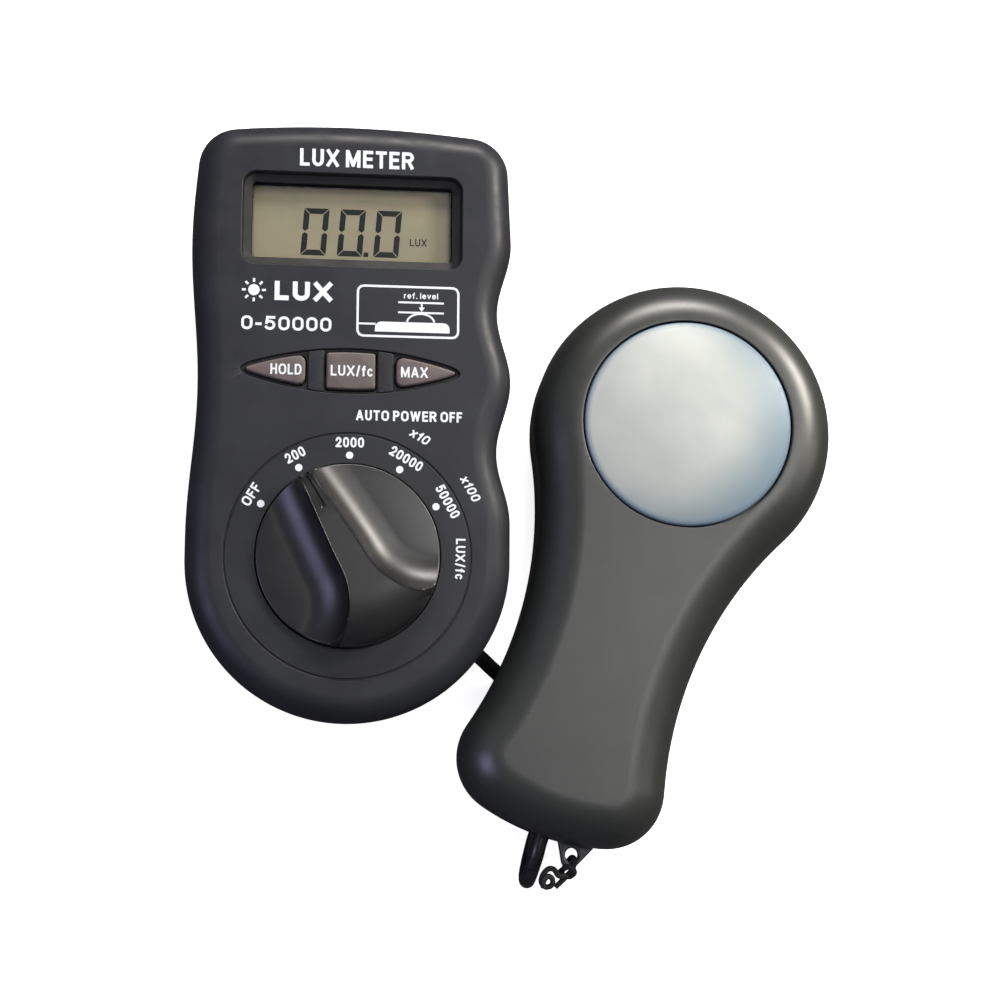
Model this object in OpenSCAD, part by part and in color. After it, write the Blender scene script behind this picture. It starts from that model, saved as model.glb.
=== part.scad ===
// Handheld light meter with a separate light sensor on a cord.
// Frame: millimetres, +Z out of the front face, +Y towards the display.
// The origin is on the back face, under the axis of the range knob.

/* [Meter case] */
// Width of the case across its round lower end
case_w = 71.2; // [70.4:0.2:72]
// Distance from the knob axis to the crown of the top edge
case_top = 97; // [96.4:0.2:98]
// Thickness of the case, back face to front face
case_h = 30; // [30:0.5:32]
// Height of the parting line between rear and front case
split_z = 13; // [12:0.5:14]
// Wall thickness of the mouldings
wall = 2.2; // [2:0.1:2.4]
// Depth of the three finger waves on the right side
wave_right = 3.1; // [1:0.1:3.4]
// Depth of the long hollow on the left side
wave_left = 1.9; // [0.5:0.1:2.4]
// Radius of the front edge
front_r = 6; // [5:0.5:7]
// Radius of the back edge
back_r = 4; // [3:0.5:4.5]

/* [Range knob] */
// Radius of the knob
knob_r = 19.8; // [19:0.1:20]
// Height of the knob's grip over the front face
knob_rise = 8; // [6:0.5:9]
// Half width of the pointer bar
bar_half = 3; // [2.5:0.1:3.5]
// Angle between two switch positions
step_angle = 30; // [30:30:30]

/* [Display] */
// Width of the visible display
view_w = 43.6; // [40:0.2:44]
// Height of the visible display
view_h = 16.2; // [14:0.2:16.6]
// Distance from the knob axis to the middle of the display
view_y = 74.4; // [73:0.2:75]

/* [Buttons] */
// Half length of the pointed oval button panel
panel_a = 23.7; // [23:0.1:24]
// Half height of the button panel
panel_b = 5; // [4.8:0.1:5.2]
// Distance from the knob axis to the buttons
panel_y = 40.5; // [40:0.1:41]

/* [Sensor head] */
// Radius of the round end
head_r = 34.4; // [34:0.1:35]
// Half width of the waist of the handle
waist_half = 20.2; // [19.5:0.1:21]
// Distance from the dome axis to the end of the handle
tail_y = 97.4; // [96:0.2:99]
// Thickness of the sensor head, without its dome
head_h = 23.5; // [23:0.5:25]
// Radius of the white dome
dome_r = 23.6; // [23:0.1:24]
// Height of the dome over the front face
dome_rise = 3.6; // [3:0.1:5]

/* [Cord] */
// Radius of the cord
cord_r = 1.75; // [1.5:0.05:1.75]

/* [Hidden] */
$fn = 48;

fit = 0.1;               // gap between neighbouring pieces
eps = 0.01;
half_w = case_w / 2;
front_t = 2.5;           // thickness of the front wall
ceiling_z = case_h - front_t;
board_z = 20;            // underside of the circuit board
board_t = 1.6;
board_top = board_z + board_t;

// ---- outlines and skins -------------------------------------------------

function clamp(v, lo, hi) = min(max(v, lo), hi);
function polar(r, a) = [r * cos(a), r * sin(a)];
function arc(c, r, a0, a1, n) = [for (i = [0:n]) c + polar(r, a0 + (a1 - a0) * i / n)];
function unit(v) = v / norm(v);

// Case sides: a cosine hollow on the left, and three waves under the fingers on the right
low_bulge = 8;           // height of the lowest finger bulge over the knob axis
wave_len = 31.5;
hollow_len = 66;
top_bulge = low_bulge + 2 * wave_len;
function right_x(y) = half_w + 0.3
  - wave_right / 2 * (1 - cos(360 * (clamp(y, low_bulge, top_bulge) - low_bulge) / wave_len))
  - max(0, y - top_bulge) * 0.05;
function left_x(y) = -half_w + 0.3 + wave_left / 2 * (1 - cos(360 * max(0, y - 4) / hollow_len));
crown_r = 260;
function crown_y(x) = case_top - crown_r + sqrt(crown_r * crown_r - x * x);
corner_r = 9;
corner_y = crown_y(26) - corner_r;
corner_left = left_x(corner_y) + corner_r;
corner_right = right_x(corner_y) - corner_r;
side_step = 3.5;
side_n = floor(corner_y / side_step);

low_y = -0.7;            // the round end's centre, just below the knob axis
case_outline = concat(
  arc([0.3, low_y], half_w, 180, 360, 30),
  [for (i = [1:side_n - 1]) let (y = i * side_step) [right_x(y), y]],
  arc([corner_right, corner_y], corner_r, 0, 84, 7),
  [for (x = [20:-5:-20]) [x, crown_y(x)]],
  arc([corner_left, corner_y], corner_r, 96, 180, 7),
  [for (i = [side_n - 1:-1:1]) let (y = i * side_step) [left_x(y), y]]
);

// The outline moved inwards by d, point by point along its normals
function inset(pts, d) = [for (i = [0:len(pts) - 1])
  let (t = unit(pts[(i + 1) % len(pts)] - pts[(i + len(pts) - 1) % len(pts)]))
  pts[i] + d * [-t[1], t[0]]];

// A closed solid through levels of the same outline, each level given as [inset, z]
module skin(pts, levels) {
  n = len(pts);
  m = len(levels);
  points = [for (l = levels) for (p = inset(pts, l[0])) [p[0], p[1], l[1]]];
  faces = concat(
    [[for (i = [0:n - 1]) i]],
    [[for (i = [n - 1:-1:0]) (m - 1) * n + i]],
    [for (k = [0:m - 2]) for (i = [0:n - 1]) let (j = (i + 1) % n)
      [k * n + j, k * n + i, (k + 1) * n + i, (k + 1) * n + j]]
  );
  polyhedron(points, faces);
}

// A hollow half shell open at its parting face: levels run up the outside, then down the inside
module cup(pts, outside, inside) {
  levels = concat(outside, inside);
  n = len(pts);
  m = len(levels);
  top = len(outside) - 1;
  points = [for (l = levels) for (p = inset(pts, l[0])) [p[0], p[1], l[1]]];
  faces = concat(
    [for (k = [0:m - 1]) if (k != top) for (i = [0:n - 1]) let (j = (i + 1) % n, q = (k + 1) % m)
      [k * n + j, k * n + i, q * n + i, q * n + j]],
    [[for (i = [n - 1:-1:0]) top * n + i]],
    [[for (i = [0:n - 1]) (top + 1) * n + i]]);
  polyhedron(points, faces);
}

// Levels of a quarter-round edge of radius r that ends at height z, going up or down
function round_up(r, z, n) = [for (i = [0:n]) let (a = 90 * i / n)
  [r * (1 - cos(a)), z - r + r * sin(a)]];
function round_down(r, z, n) = [for (i = [0:n]) let (a = 90 - 90 * i / n)
  [r * (1 - cos(a)), z + r - r * sin(a)]];

// ---- round tubes along a path -------------------------------------------

function bezier_cr(p0, p1, p2, p3, t) = 0.5 * ((2 * p1) + (p2 - p0) * t
  + (2 * p0 - 5 * p1 + 4 * p2 - p3) * t * t + (3 * p1 - p0 - 3 * p2 + p3) * t * t * t);
// A smooth curve through the knots, with n steps between two knots
function smooth_path(k, n) = concat(
  [for (i = [0:len(k) - 2]) for (s = [0:n - 1])
    bezier_cr(k[max(i - 1, 0)], k[i], k[i + 1], k[min(i + 2, len(k) - 1)], s / n)],
  [k[len(k) - 1]]);

// A tube of radius r with its ends slightly rounded; the path never runs straight up
module tube(path, r, sides) {
  n = len(path);
  dome = [[-0.25, 0.7], [-0.18, 0.86], [-0.06, 0.97]];
  dirs = [for (i = [0:n - 1]) unit(path[min(i + 1, n - 1)] - path[max(i - 1, 0)])];
  rings = concat(
    [for (d = dome) [path[0] + dirs[0] * d[0] * r, dirs[0], d[1] * r]],
    [for (i = [0:n - 1]) [path[i], dirs[i], r]],
    [for (k = [2:-1:0]) let (d = dome[k])
      [path[n - 1] - dirs[n - 1] * d[0] * r, dirs[n - 1], d[1] * r]]);
  m = len(rings);
  points = [for (g = rings)
    let (side = unit(cross(g[1], [0, 0, 1])), up = cross(side, g[1]))
    for (s = [0:sides - 1]) let (a = 360 * s / sides)
      g[0] + g[2] * (cos(a) * side + sin(a) * up)];
  faces = concat(
    [[for (s = [0:sides - 1]) s]],
    [[for (s = [sides - 1:-1:0]) (m - 1) * sides + s]],
    [for (k = [0:m - 2]) for (s = [0:sides - 1]) let (j = (s + 1) % sides)
      [k * sides + j, k * sides + s, (k + 1) * sides + s, (k + 1) * sides + j]]);
  polyhedron(points, faces);
}

// A straight wire between two points, as a true cylinder
module wire(a, b, r) {
  d = b - a;
  translate(a) rotate([0, acos(d[2] / norm(d)), atan2(d[1], d[0])]) cylinder(r = r, h = norm(d), $fn = 16);
}

module block(lo, hi) translate(lo) cube(hi - lo);
module drum(r, z0, z1) translate([0, 0, z0]) cylinder(r = r, h = z1 - z0);
module ring(r_in, r_out, z0, z1) difference() {
  drum(r_out, z0, z1);
  drum(r_in, z0 - 1, z1 + 1);
}

// ---- places of the fasteners --------------------------------------------

case_posts = [[-24.9, 17], [24.9, 17], [-26.1, 87.3], [26.4, 87.4]];
post_r = 3.1;            // rear posts, round the screw heads
front_post_r = 2.3;
board_posts = [[-24, 54], [24, 54], [-13.5, -24.8], [13.5, -24.8]];
case_screw_r = 1.4;
board_screw_r = 1;
head_seat_z = 8;         // where the case screw heads sit, inside the back

// A pan-head screw with a cross slot, head down, its seat at z = 0
module screw(shank_r, shank_len, head_r, head_t) difference() {
  union() {
    drum(shank_r, -eps, shank_len);
    drum(head_r, -head_t, 0);
  }
  for (a = [0, 90]) rotate(a) block([-head_r * 0.7, -0.3, -head_t - 1], [head_r * 0.7, 0.3, -head_t * 0.45]);
}

// ---- meter: case ---------------------------------------------------------

ring_r = 26.7;           // groove round the dial
knob_well_r = knob_r + 0.35;
knob_well_z = case_h - 1.3;
hub_r = 12;
bezel_w = view_w + 5;
bezel_h = view_h + 4.9;

module rounded_plate(w, h, r, z0, z1) union() {
  for (sx = [-1, 1]) for (sy = [-1, 1])
    translate([sx * (w / 2 - r), sy * (h / 2 - r), 0]) drum(r, z0, z1);
  block([-w / 2 + r, -h / 2, z0], [w / 2 - r, h / 2, z1]);
  block([-w / 2, -h / 2 + r, z0], [w / 2, h / 2 - r, z1]);
}

// A pointed oval of two arcs, half length a and half height b, with n steps along each arc
function oval(a, b, n) = let (r = (a * a + b * b) / (2 * b), h = asin(a / r)) concat(
  [for (i = [0:n]) let (t = -h + 2 * h * i / n) [r * sin(t), r - b - r * cos(t)]],
  [for (i = [1:n - 1]) let (t = h - 2 * h * i / n) [r * sin(t), r * cos(t) - r + b]]);

key_a = 22.4;
key_b = 3.95;
mid_half = 5.35;         // half width of the middle button
side_from = 9.9;         // where the outer buttons begin

// The column of one button: which is -1, 0 or 1; grow widens it on every side
module key_column(which, grow, z0, z1) intersection() {
  translate([0, 0, z0]) linear_extrude(z1 - z0) polygon(oval(key_a + grow, key_b + grow, 20));
  if (which == 0) block([-mid_half - grow, -9, z0 - 1], [mid_half + grow, 9, z1 + 1]);
  if (which == 1) block([side_from - grow, -9, z0 - 1], [30, 9, z1 + 1]);
  if (which == -1) block([-30, -9, z0 - 1], [-side_from + grow, 9, z1 + 1]);
}

detent_angles = [15, 195];
ball_r = 1.2;
rotor_r = 16;

module front_case() color([0.17, 0.175, 0.185]) difference() {
  union() {
    cup(case_outline, concat([[0, split_z]], round_up(front_r, case_h, 5)),
      [[wall + 2.6, ceiling_z], [wall + 1.1, ceiling_z - 1.2], [wall, case_h - front_r], [wall, split_z]]);
    drum(hub_r + 2.4, 25.6, ceiling_z + eps);
    for (p = case_posts) translate(p) drum(front_post_r, 16.2, ceiling_z + eps);
    for (p = board_posts) translate(p) drum(2.5, board_top + fit, ceiling_z + eps);
    for (a = detent_angles) rotate(a) block([rotor_r + 1.4, -2.6, 22.3], [rotor_r + 9, 2.6, ceiling_z + eps]);
  }
  drum(hub_r + 0.05, 20, 40);
  drum(knob_well_r, knob_well_z, 40);
  ring(ring_r - 0.25, ring_r + 0.25, case_h - 0.35, 40);
  translate([0, view_y, 0]) {
    rounded_plate(bezel_w, bezel_h, 3, case_h - 1.5, 40);
    rounded_plate(view_w + 1, view_h + 1, 1, 20, 40);
  }
  translate([0, panel_y, 0]) {
    translate([0, 0, case_h - 0.8]) linear_extrude(5) polygon(oval(panel_a, panel_b, 24));
    for (k = [-1:1]) key_column(k, 0.35, 20, 40);
  }
  for (p = case_posts) translate(p) drum(case_screw_r + 0.02, 15, 25.5);
  for (p = board_posts) translate(p) drum(board_screw_r + 0.02, 20, 26.5);
  for (a = detent_angles) rotate(a) translate([rotor_r + 1, 0, 24.1]) rotate([0, 90, 0]) cylinder(r = ball_r + 0.1, h = 6.5);
}

door_half = 27.5;
door_end = 12;           // upper end of the battery door
door_t = 2;
rail_w = 1.2;

module rear_shape() skin(case_outline, concat(round_down(back_r, 0, 4), [[0, split_z]]));

cord_exit_a = -33;       // where the cord leaves the round end
cord_exit_z = 7;
cord_out = [cos(-40) * cos(24), sin(-40) * cos(24), -sin(24)];
cord_mouth = [0.3 + half_w * cos(cord_exit_a), low_y + half_w * sin(cord_exit_a), cord_exit_z];

// Turns and moves its children from a frame with +Z along the cord to the cord's exit
module at_cord_mouth() translate(cord_mouth)
  rotate([0, 90 + 24, -40]) children();

module rear_case() color([0.15, 0.155, 0.165]) difference() {
  union() {
    mirror([0, 0, 1]) cup(case_outline, concat([[0, -split_z]], round_up(back_r, 0, 4)),
      [[back_r + 0.6, -wall], [wall, -back_r - 1], [wall, -split_z]]);
    // tongue that locates the front case
    translate([0, 0, split_z - 3.5]) linear_extrude(3.4) difference() {
      polygon(inset(case_outline, wall - 0.3));
      polygon(inset(case_outline, wall + 0.9));
    }
    translate([0, 0, split_z - 0.5]) linear_extrude(2.1) difference() {
      polygon(inset(case_outline, wall + 0.15));
      polygon(inset(case_outline, wall + 0.9));
    }
    for (p = case_posts) translate(p) drum(post_r, 1, 16);
    for (s = [0, 1]) intersection() {
      mirror([s, 0, 0]) block([door_half, -15, eps], [door_half + 2.3, door_end + 1, 4.6]);
      rear_shape();
    }
    block([-30, door_end - 3.6, door_t + 0.2], [30, door_end - 2.4, 19.5]);
    block([-25, -21.2, door_t + 0.2], [22, -20, 19.5]);
    block([-29, -16, door_t + 0.2], [-27.9, 8, 19.5]);
  }
  // pocket of the battery door, open at the round end, with a groove down each side
  block([-door_half - 0.1, -50, -1], [door_half + 0.1, door_end + 0.1, door_t + 0.15]);
  block([-door_half - rail_w - 0.15, -50, 0.9], [door_half + rail_w + 0.15, door_end - 1.4, door_t + 0.15]);
  block([-door_half - 0.1, -19.9, -1], [door_half + 0.1, door_end - 3.7, 5]);
  for (p = case_posts) translate(p) {
    drum(2.8, -1, head_seat_z);
    drum(case_screw_r + 0.2, 0, 17);
  }
  at_cord_mouth() drum(2.75, -6, 4);
}

module battery_door() color([0.15, 0.155, 0.165]) difference() {
  union() {
    intersection() {
      rear_shape();
      block([-door_half, -50, -1], [door_half, door_end, door_t]);
    }
    block([-door_half - rail_w, -12, 1], [door_half + rail_w, door_end - 1.6, door_t - 0.1]);
  }
  for (i = [0:4]) translate([0, -27 + 2 * i, 0]) block([-9 + i, -0.4, -1], [9 - i, 0.4, 0.5]);
}

// ---- meter: display ------------------------------------------------------

module display_window() color([0.8, 0.85, 0.85, 0.4])
  translate([0, view_y, 0]) rounded_plate(view_w + 4.8, view_h + 5.4, 1, 25.8, ceiling_z - 0.08);

module lcd_panel() color([0.62, 0.62, 0.52]) translate([0, view_y, 0]) {
  block([-24.1, -10.7, 24.5], [24.1, 10.7, 25.6]);
  block([-24.1, -9.5, 23.4], [24.1, 10.7, 24.4]);
}

module lcd_frame() color([0.1, 0.1, 0.1]) difference() {
  translate([0, view_y, 0]) difference() {
    block([-26, -12.4, board_top + fit], [26, 12.4, ceiling_z - 0.08]);
    block([-24.3, -10.9, 20], [24.3, 10.9, 30]);
  }
  for (p = case_posts) translate(p) drum(front_post_r + 0.2, 20, 30);
}

module zebra_strips() color([0.85, 0.45, 0.55]) translate([0, view_y, 0])
  for (y = [-8.4, 9.6]) block([-23, y - 1, board_top], [23, y + 1, 23.4]);

// ---- meter: board --------------------------------------------------------

module circuit_board() color([0.1, 0.35, 0.2]) difference() {
  translate([0, 0, board_z]) linear_extrude(board_t) polygon(inset(case_outline, wall + 0.6));
  for (p = case_posts) translate(p) drum(post_r + 0.4, 15, 25);
  for (p = board_posts) translate(p) drum(board_screw_r + 0.2, 15, 25);
}

module main_chip() color([0.08, 0.08, 0.08]) translate([-10, 50, 0]) {
  block([-5, -5, board_z - 2], [5, 5, board_z - 0.3]);
  for (a = [0:90:270]) rotate(a) for (i = [-5:5])
    block([i * 0.8 - 0.15, 5, board_z - 1.2], [i * 0.8 + 0.15, 6.2, board_z]);
}

capacitor_spots = [[10, 60], [17, 60], [-20, 66], [12, 30]];
module capacitors() color([0.12, 0.18, 0.35]) for (p = capacitor_spots) translate(p) {
  drum(2.5, board_z - 8, board_z - 1);
  for (x = [-1, 1]) translate([x, 0, 0]) drum(0.3, board_z - 1.1, board_z);
}

module trimmers() color([0.2, 0.35, 0.75]) for (x = [-4, 4]) translate([x, 66, 0]) difference() {
  block([-3, -3, board_z - 4], [3, 3, board_z]);
  drum(1.5, board_z - 5, board_z - 3);
}

module switch_tracks() color([0.85, 0.65, 0.25]) for (r = [6, 9.5, 13])
  ring(r - 0.8, r + 0.8, board_top, board_top + 0.1);

button_x = [-15.6, 0, 15.6];
plunger_r = 1.7;
press = 0.6;             // travel of a button
plunger_top = 24.5;

module button_switches() color([0.15, 0.15, 0.15]) for (x = button_x) translate([x, panel_y, 0]) difference() {
  block([-3, -3, board_top], [3, 3, 23.9]);
  drum(plunger_r + 0.05, 22, 30);
}

// ---- meter: knob ---------------------------------------------------------

// The knob is drawn with its bar along +Y, and is turned one step to its rest position
knob_top = case_h + knob_rise;
knob_floor = case_h + 1.2;
scoop_r = 14;            // radius of the curve where the bar widens into the tail
scoop_y = -1.2;
scoop_x = bar_half + scoop_r;
fillet = knob_top - knob_floor;

// Profile of a scoop: x runs away from the bar's edge, y is height over the scoop's floor
scoop_profile = concat(
  arc([fillet, fillet], fillet, 180, 270, 8),
  [[scoop_r, 0], [scoop_r, fillet + 3], [0, fillet + 3]]);

module scoop() {
  translate([scoop_x, scoop_y, knob_floor]) rotate_extrude(angle = 360)
    polygon([for (p = scoop_profile) [scoop_r - p[0], p[1]]]);
  translate([bar_half, scoop_y, knob_floor]) rotate([90, 0, 0]) mirror([0, 0, 1])
    linear_extrude(40) polygon([for (p = scoop_profile) [p[0] >= scoop_r ? 40 : p[0], p[1]]]);
}

knob_edge = knob_floor + 1.8;
knob_profile = concat(
  [[0, 28.9], [knob_r, 28.9]],
  [for (i = [0:7]) let (a = 90 * i / 7)
    [knob_r - 11 + 11 * cos(a), knob_edge + (knob_top - knob_edge) * sin(a)]],
  [[0, knob_top]]);

module range_knob() color([0.12, 0.125, 0.135]) rotate(step_angle) difference() {
  union() {
    rotate_extrude() polygon(knob_profile);
    drum(hub_r, 25.5, 29);
  }
  scoop();
  mirror([1, 0, 0]) scoop();
  block([-0.6, 12, knob_floor + 2], [0.6, 25, 50]);
  block([-5, -5, 20], [5, 5, 28.6]);
  drum(1.27, 25, 33);
}

module knob_rotor() color([0.85, 0.85, 0.8]) rotate(step_angle) difference() {
  union() {
    drum(rotor_r, 22.9, 25.3);
    block([-4.9, -4.9, 25], [4.9, 4.9, 28.5]);
  }
  for (i = [0:11]) rotate(15 + 30 * i) translate([rotor_r + 0.85, 0, 0]) drum(ball_r, 20, 30);
  drum(3, 20, 24.5);
  drum(1.45, 20, 30);
}

module rotor_contacts() color([0.8, 0.6, 0.3]) rotate(step_angle) for (a = [0, 120, 240]) rotate(a)
  translate([4.5, -1, 0]) {
    block([0, 0, 22.6], [10, 2, 22.88]);
    for (x = [1.1, 4.6, 8.1]) block([x, 0.6, board_top + 0.15], [x + 0.8, 1.4, 22.65]);
  }

module knob_screw() color([0.75, 0.75, 0.72]) translate([0, 0, 24.5]) screw(1.25, 7, 2.6, 1.4);

module detent_balls() color([0.8, 0.8, 0.8]) for (a = detent_angles)
  rotate(a) translate([rotor_r + ball_r + 0.05, 0, 24.1]) sphere(r = ball_r);

module detent_springs() color([0.7, 0.7, 0.7]) for (a = detent_angles)
  rotate(a) translate([0, 0, 24.1]) for (i = [0:3])
    translate([rotor_r + 2 * ball_r + 0.2 + 0.9 * i, 0, 0]) rotate([0, 90, 0]) ring(0.75, 1.2, 0, 0.5);

// ---- meter: buttons ------------------------------------------------------

module button(which, x) {
  translate([0, panel_y, 0]) {
    key_column(which, 0, plunger_top + 1, case_h + 0.5);
    key_column(which, 1.2, 25.7, 26.7);
  }
  translate([x, panel_y, 0]) drum(1.5, plunger_top + 0.02, plunger_top + 1.2);
}

module plunger(x) translate([x, panel_y, 0]) drum(plunger_r, 22.7, plunger_top);

module hold_button() color([0.36, 0.33, 0.33]) button(-1, button_x[0]);
module units_button() color([0.36, 0.33, 0.33]) button(0, button_x[1]);
module max_button() color([0.36, 0.33, 0.33]) button(1, button_x[2]);
module hold_plunger() color("black") plunger(button_x[0]);
module units_plunger() color("black") plunger(button_x[1]);
module max_plunger() color("black") plunger(button_x[2]);

// ---- meter: power and fasteners ------------------------------------------

battery_lo = [-26.4, -18.7, 2.2];
battery_hi = [20.1, 7.7, 19.6];

module battery() color([0.75, 0.6, 0.2]) {
  block(battery_lo, battery_hi);
  for (y = [-12.3, 0.3]) translate([battery_hi[0], y, 10.9]) rotate([0, 90, 0]) cylinder(r = 3.2, h = 2);
}

module battery_clip() color([0.1, 0.1, 0.1]) difference() {
  block([battery_hi[0] + 0.3, -18, 5], [battery_hi[0] + 5, 6, 17]);
  for (y = [-12.3, 0.3]) translate([battery_hi[0] - 1, y, 10.9]) rotate([0, 90, 0]) cylinder(r = 3.3, h = 3.5);
}

module battery_leads() color([0.7, 0.1, 0.1]) for (y = [-9, -3]) {
  wire([battery_hi[0] + 5.2, y, 11], [28, y, 11.5], 0.6);
  wire([28, y, 11], [29.5, y, board_z - 0.2], 0.6);
}

module case_screws() color([0.6, 0.6, 0.6]) for (p = case_posts)
  translate([p[0], p[1], head_seat_z]) screw(case_screw_r, 16, 2.6, 1.8);

module board_screws() color([0.6, 0.6, 0.6]) for (p = board_posts)
  translate([p[0], p[1], board_z]) screw(board_screw_r, 6, 2, 1.3);

// ---- cord ----------------------------------------------------------------

// The sensor head lies beside the meter, turned, with its handle resting on the cord
head_at = [77.3, 30.1, 2];
head_turn = -20;
head_pitch = -2.4;
head_roll = -3.5;
module at_head() translate(head_at) rotate([0, 0, head_turn]) rotate([head_pitch, 0, 0])
  rotate([0, head_roll, 0]) children();
// A point given by its place along the head's own axes, at height z over the table
function beside_head(x, y, z) = [head_at[0] + x * cos(head_turn) - y * sin(head_turn),
  head_at[1] + x * sin(head_turn) + y * cos(head_turn), z];

head_split = 10;
// The same as at_head, for a single point
function head_point(p) = let (
  x = p[0] * cos(head_roll) + p[2] * sin(head_roll), z = p[2] * cos(head_roll) - p[0] * sin(head_roll),
  y2 = p[1] * cos(head_pitch) - z * sin(head_pitch), z2 = p[1] * sin(head_pitch) + z * cos(head_pitch))
  beside_head(x, y2, head_at[2] + z2);
cord_head_x = 0.8;       // the cord's place on the handle's end
// Where the cord is free to turn, beyond the handle's end
flex_point = beside_head(0.75, -103.6, 14.9);

lay = cord_r + 0.1;      // height of the cord's middle where it lies on the table

// From the meter, under the waist of the handle, out past its end, and up round a bend into it
cord_knots = [
  cord_mouth + cord_out * 2, cord_mouth + cord_out * 4.5 + [0, 0, -0.3],
  beside_head(-17.4, -67.2, lay + 0.1), beside_head(-9.5, -73.5, lay), beside_head(-3, -82, lay),
  beside_head(0.4, -92, lay), beside_head(1.1, -99.5, lay), beside_head(1.4, -103.6, 2.9),
  beside_head(1.55, -106.4, 5.4), beside_head(1.55, -107.4, 8.7), beside_head(1.2, -106.5, 12.1), flex_point];
cord_path = smooth_path(cord_knots, 4);
cord_cut = 24;           // where the run under the handle ends and the bend begins
cut_at = cord_path[cord_cut];
cut_dir = unit(cord_path[cord_cut + 1] - cord_path[cord_cut - 1]);
cord_last = len(cord_path) - 1;

module signal_cord() color([0.1, 0.1, 0.1])
  tube(concat([for (i = [0:cord_cut - 1]) cord_path[i]], [cut_at - cut_dir * 0.6]), cord_r, 10);

module cord_loop() color([0.1, 0.1, 0.1])
  tube(concat([cut_at + cut_dir * 0.6], [for (i = [cord_cut + 1:cord_last - 1]) cord_path[i]]), cord_r, 10);

module cord_meter_end() color([0.1, 0.1, 0.1]) at_cord_mouth() drum(cord_r, -3.4, 0.1);

module cord_bushing() color([0.12, 0.12, 0.12]) at_cord_mouth() difference() {
  drum(2.7, -2.4, -0.6);
  drum(cord_r + 0.02, -9, 9);
}

module board_leads() color([0.8, 0.8, 0.8]) for (i = [-1, 1]) {
  wire(cord_mouth - cord_out * 4.2 + [0, i * 0.7, 0], [28.6, -12 + i, 13], 0.35);
  wire([28.6, -12 + i, 12.8], [28.6, -12 + i, board_z], 0.35);
}

module cord_sensor_end() color([0.1, 0.1, 0.1]) {
  outside = beside_head(0.5, -tail_y - 3.6, 15.9);
  tube(concat([head_point([cord_head_x, 6 - tail_y, head_split])], smooth_path([
    head_point([cord_head_x, -1 - tail_y, head_split]), outside,
    flex_point + unit(outside - flex_point) * 1.1], 3)), cord_r, 10);
}

module sensor_bushing() color([0.12, 0.12, 0.12]) at_head()
  translate([cord_head_x, -tail_y + 3.4, head_split]) rotate([90, 0, 0]) ring(cord_r + 0.02, 3.1, -1, 1.9);

// ---- sensor head ---------------------------------------------------------

// Handle flanks: arcs tangent to the round end, narrowest at the waist
waist_y = -57;
flank_r = (waist_half * waist_half + waist_y * waist_y - head_r * head_r) / (2 * (head_r - waist_half));
flank_c = [waist_half + flank_r, waist_y];
head_tangent = atan2(flank_c[1], flank_c[0]);
tail_r = 13;             // radius of the handle's corners
end_r = 55;              // radius of the handle's end
end_c = [0, end_r - tail_y];
// The corner's centre lies at known distances from the centres of the flank and the end
corner_gap = flank_c - end_c;
gap = norm(corner_gap);
to_flank = flank_r + tail_r;
to_end = end_r - tail_r;
along = (to_end * to_end - to_flank * to_flank + gap * gap) / (2 * gap);
off = sqrt(to_end * to_end - along * along);
tail_c = end_c + unit(corner_gap) * along + off * [unit(corner_gap)[1], -unit(corner_gap)[0]];
end_a = atan2(tail_c[1] - end_c[1], tail_c[0]);
side_a = atan2(flank_c[1] - tail_c[1], flank_c[0] - tail_c[0]);

head_right = concat(
  arc(end_c, end_r, -90 + 3, end_a - 2, 2),
  arc(tail_c, tail_r, end_a, side_a, 8),
  arc(flank_c, flank_r, 180 + side_a - 2.5, 180 + head_tangent + 2.5, 9),
  arc([0, 0], head_r, head_tangent, 90, 14));
head_outline = concat(head_right, [for (i = [len(head_right) - 2:-1:0]) [-head_right[i][0], head_right[i][1]]]);

head_wall = 2.2;
head_edge = 10;          // radius of the front edge
head_back_r = 5;
dome_sphere = (dome_r * dome_r + dome_rise * dome_rise) / (2 * dome_rise);
head_posts = [[-20.5, 21], [20.5, 21], [-11.5, -83], [11.5, -83]];

module sensor_front_shell() color([0.2, 0.2, 0.2]) at_head() difference() {
  union() {
    cup(head_outline, concat([[0, head_split]], round_up(head_edge, head_h, 6)),
      [[head_wall + 6, head_h - head_wall], [head_wall + 2, head_h - 5],
        [head_wall, head_h - head_edge], [head_wall, head_split]]);
    for (p = head_posts) translate(p) drum(3, head_split + 0.05, p[1] > 0 ? 18.5 : 21.6);
  }
  drum(dome_r + 0.15, head_h - 8, 40);
  for (p = head_posts) translate(p) drum(1.22, 5, 16.5);
  translate([cord_head_x, 3 - tail_y, head_split]) rotate([90, 0, 0]) cylinder(r = 2.35, h = 9);
  translate([cord_head_x, 6 - tail_y, head_split]) rotate([90, 0, 0]) cylinder(r = 3.3, h = 4.6);
}

eye_at = [8.6, -tail_y - 1.5];
eye_r = 1.5;

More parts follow.
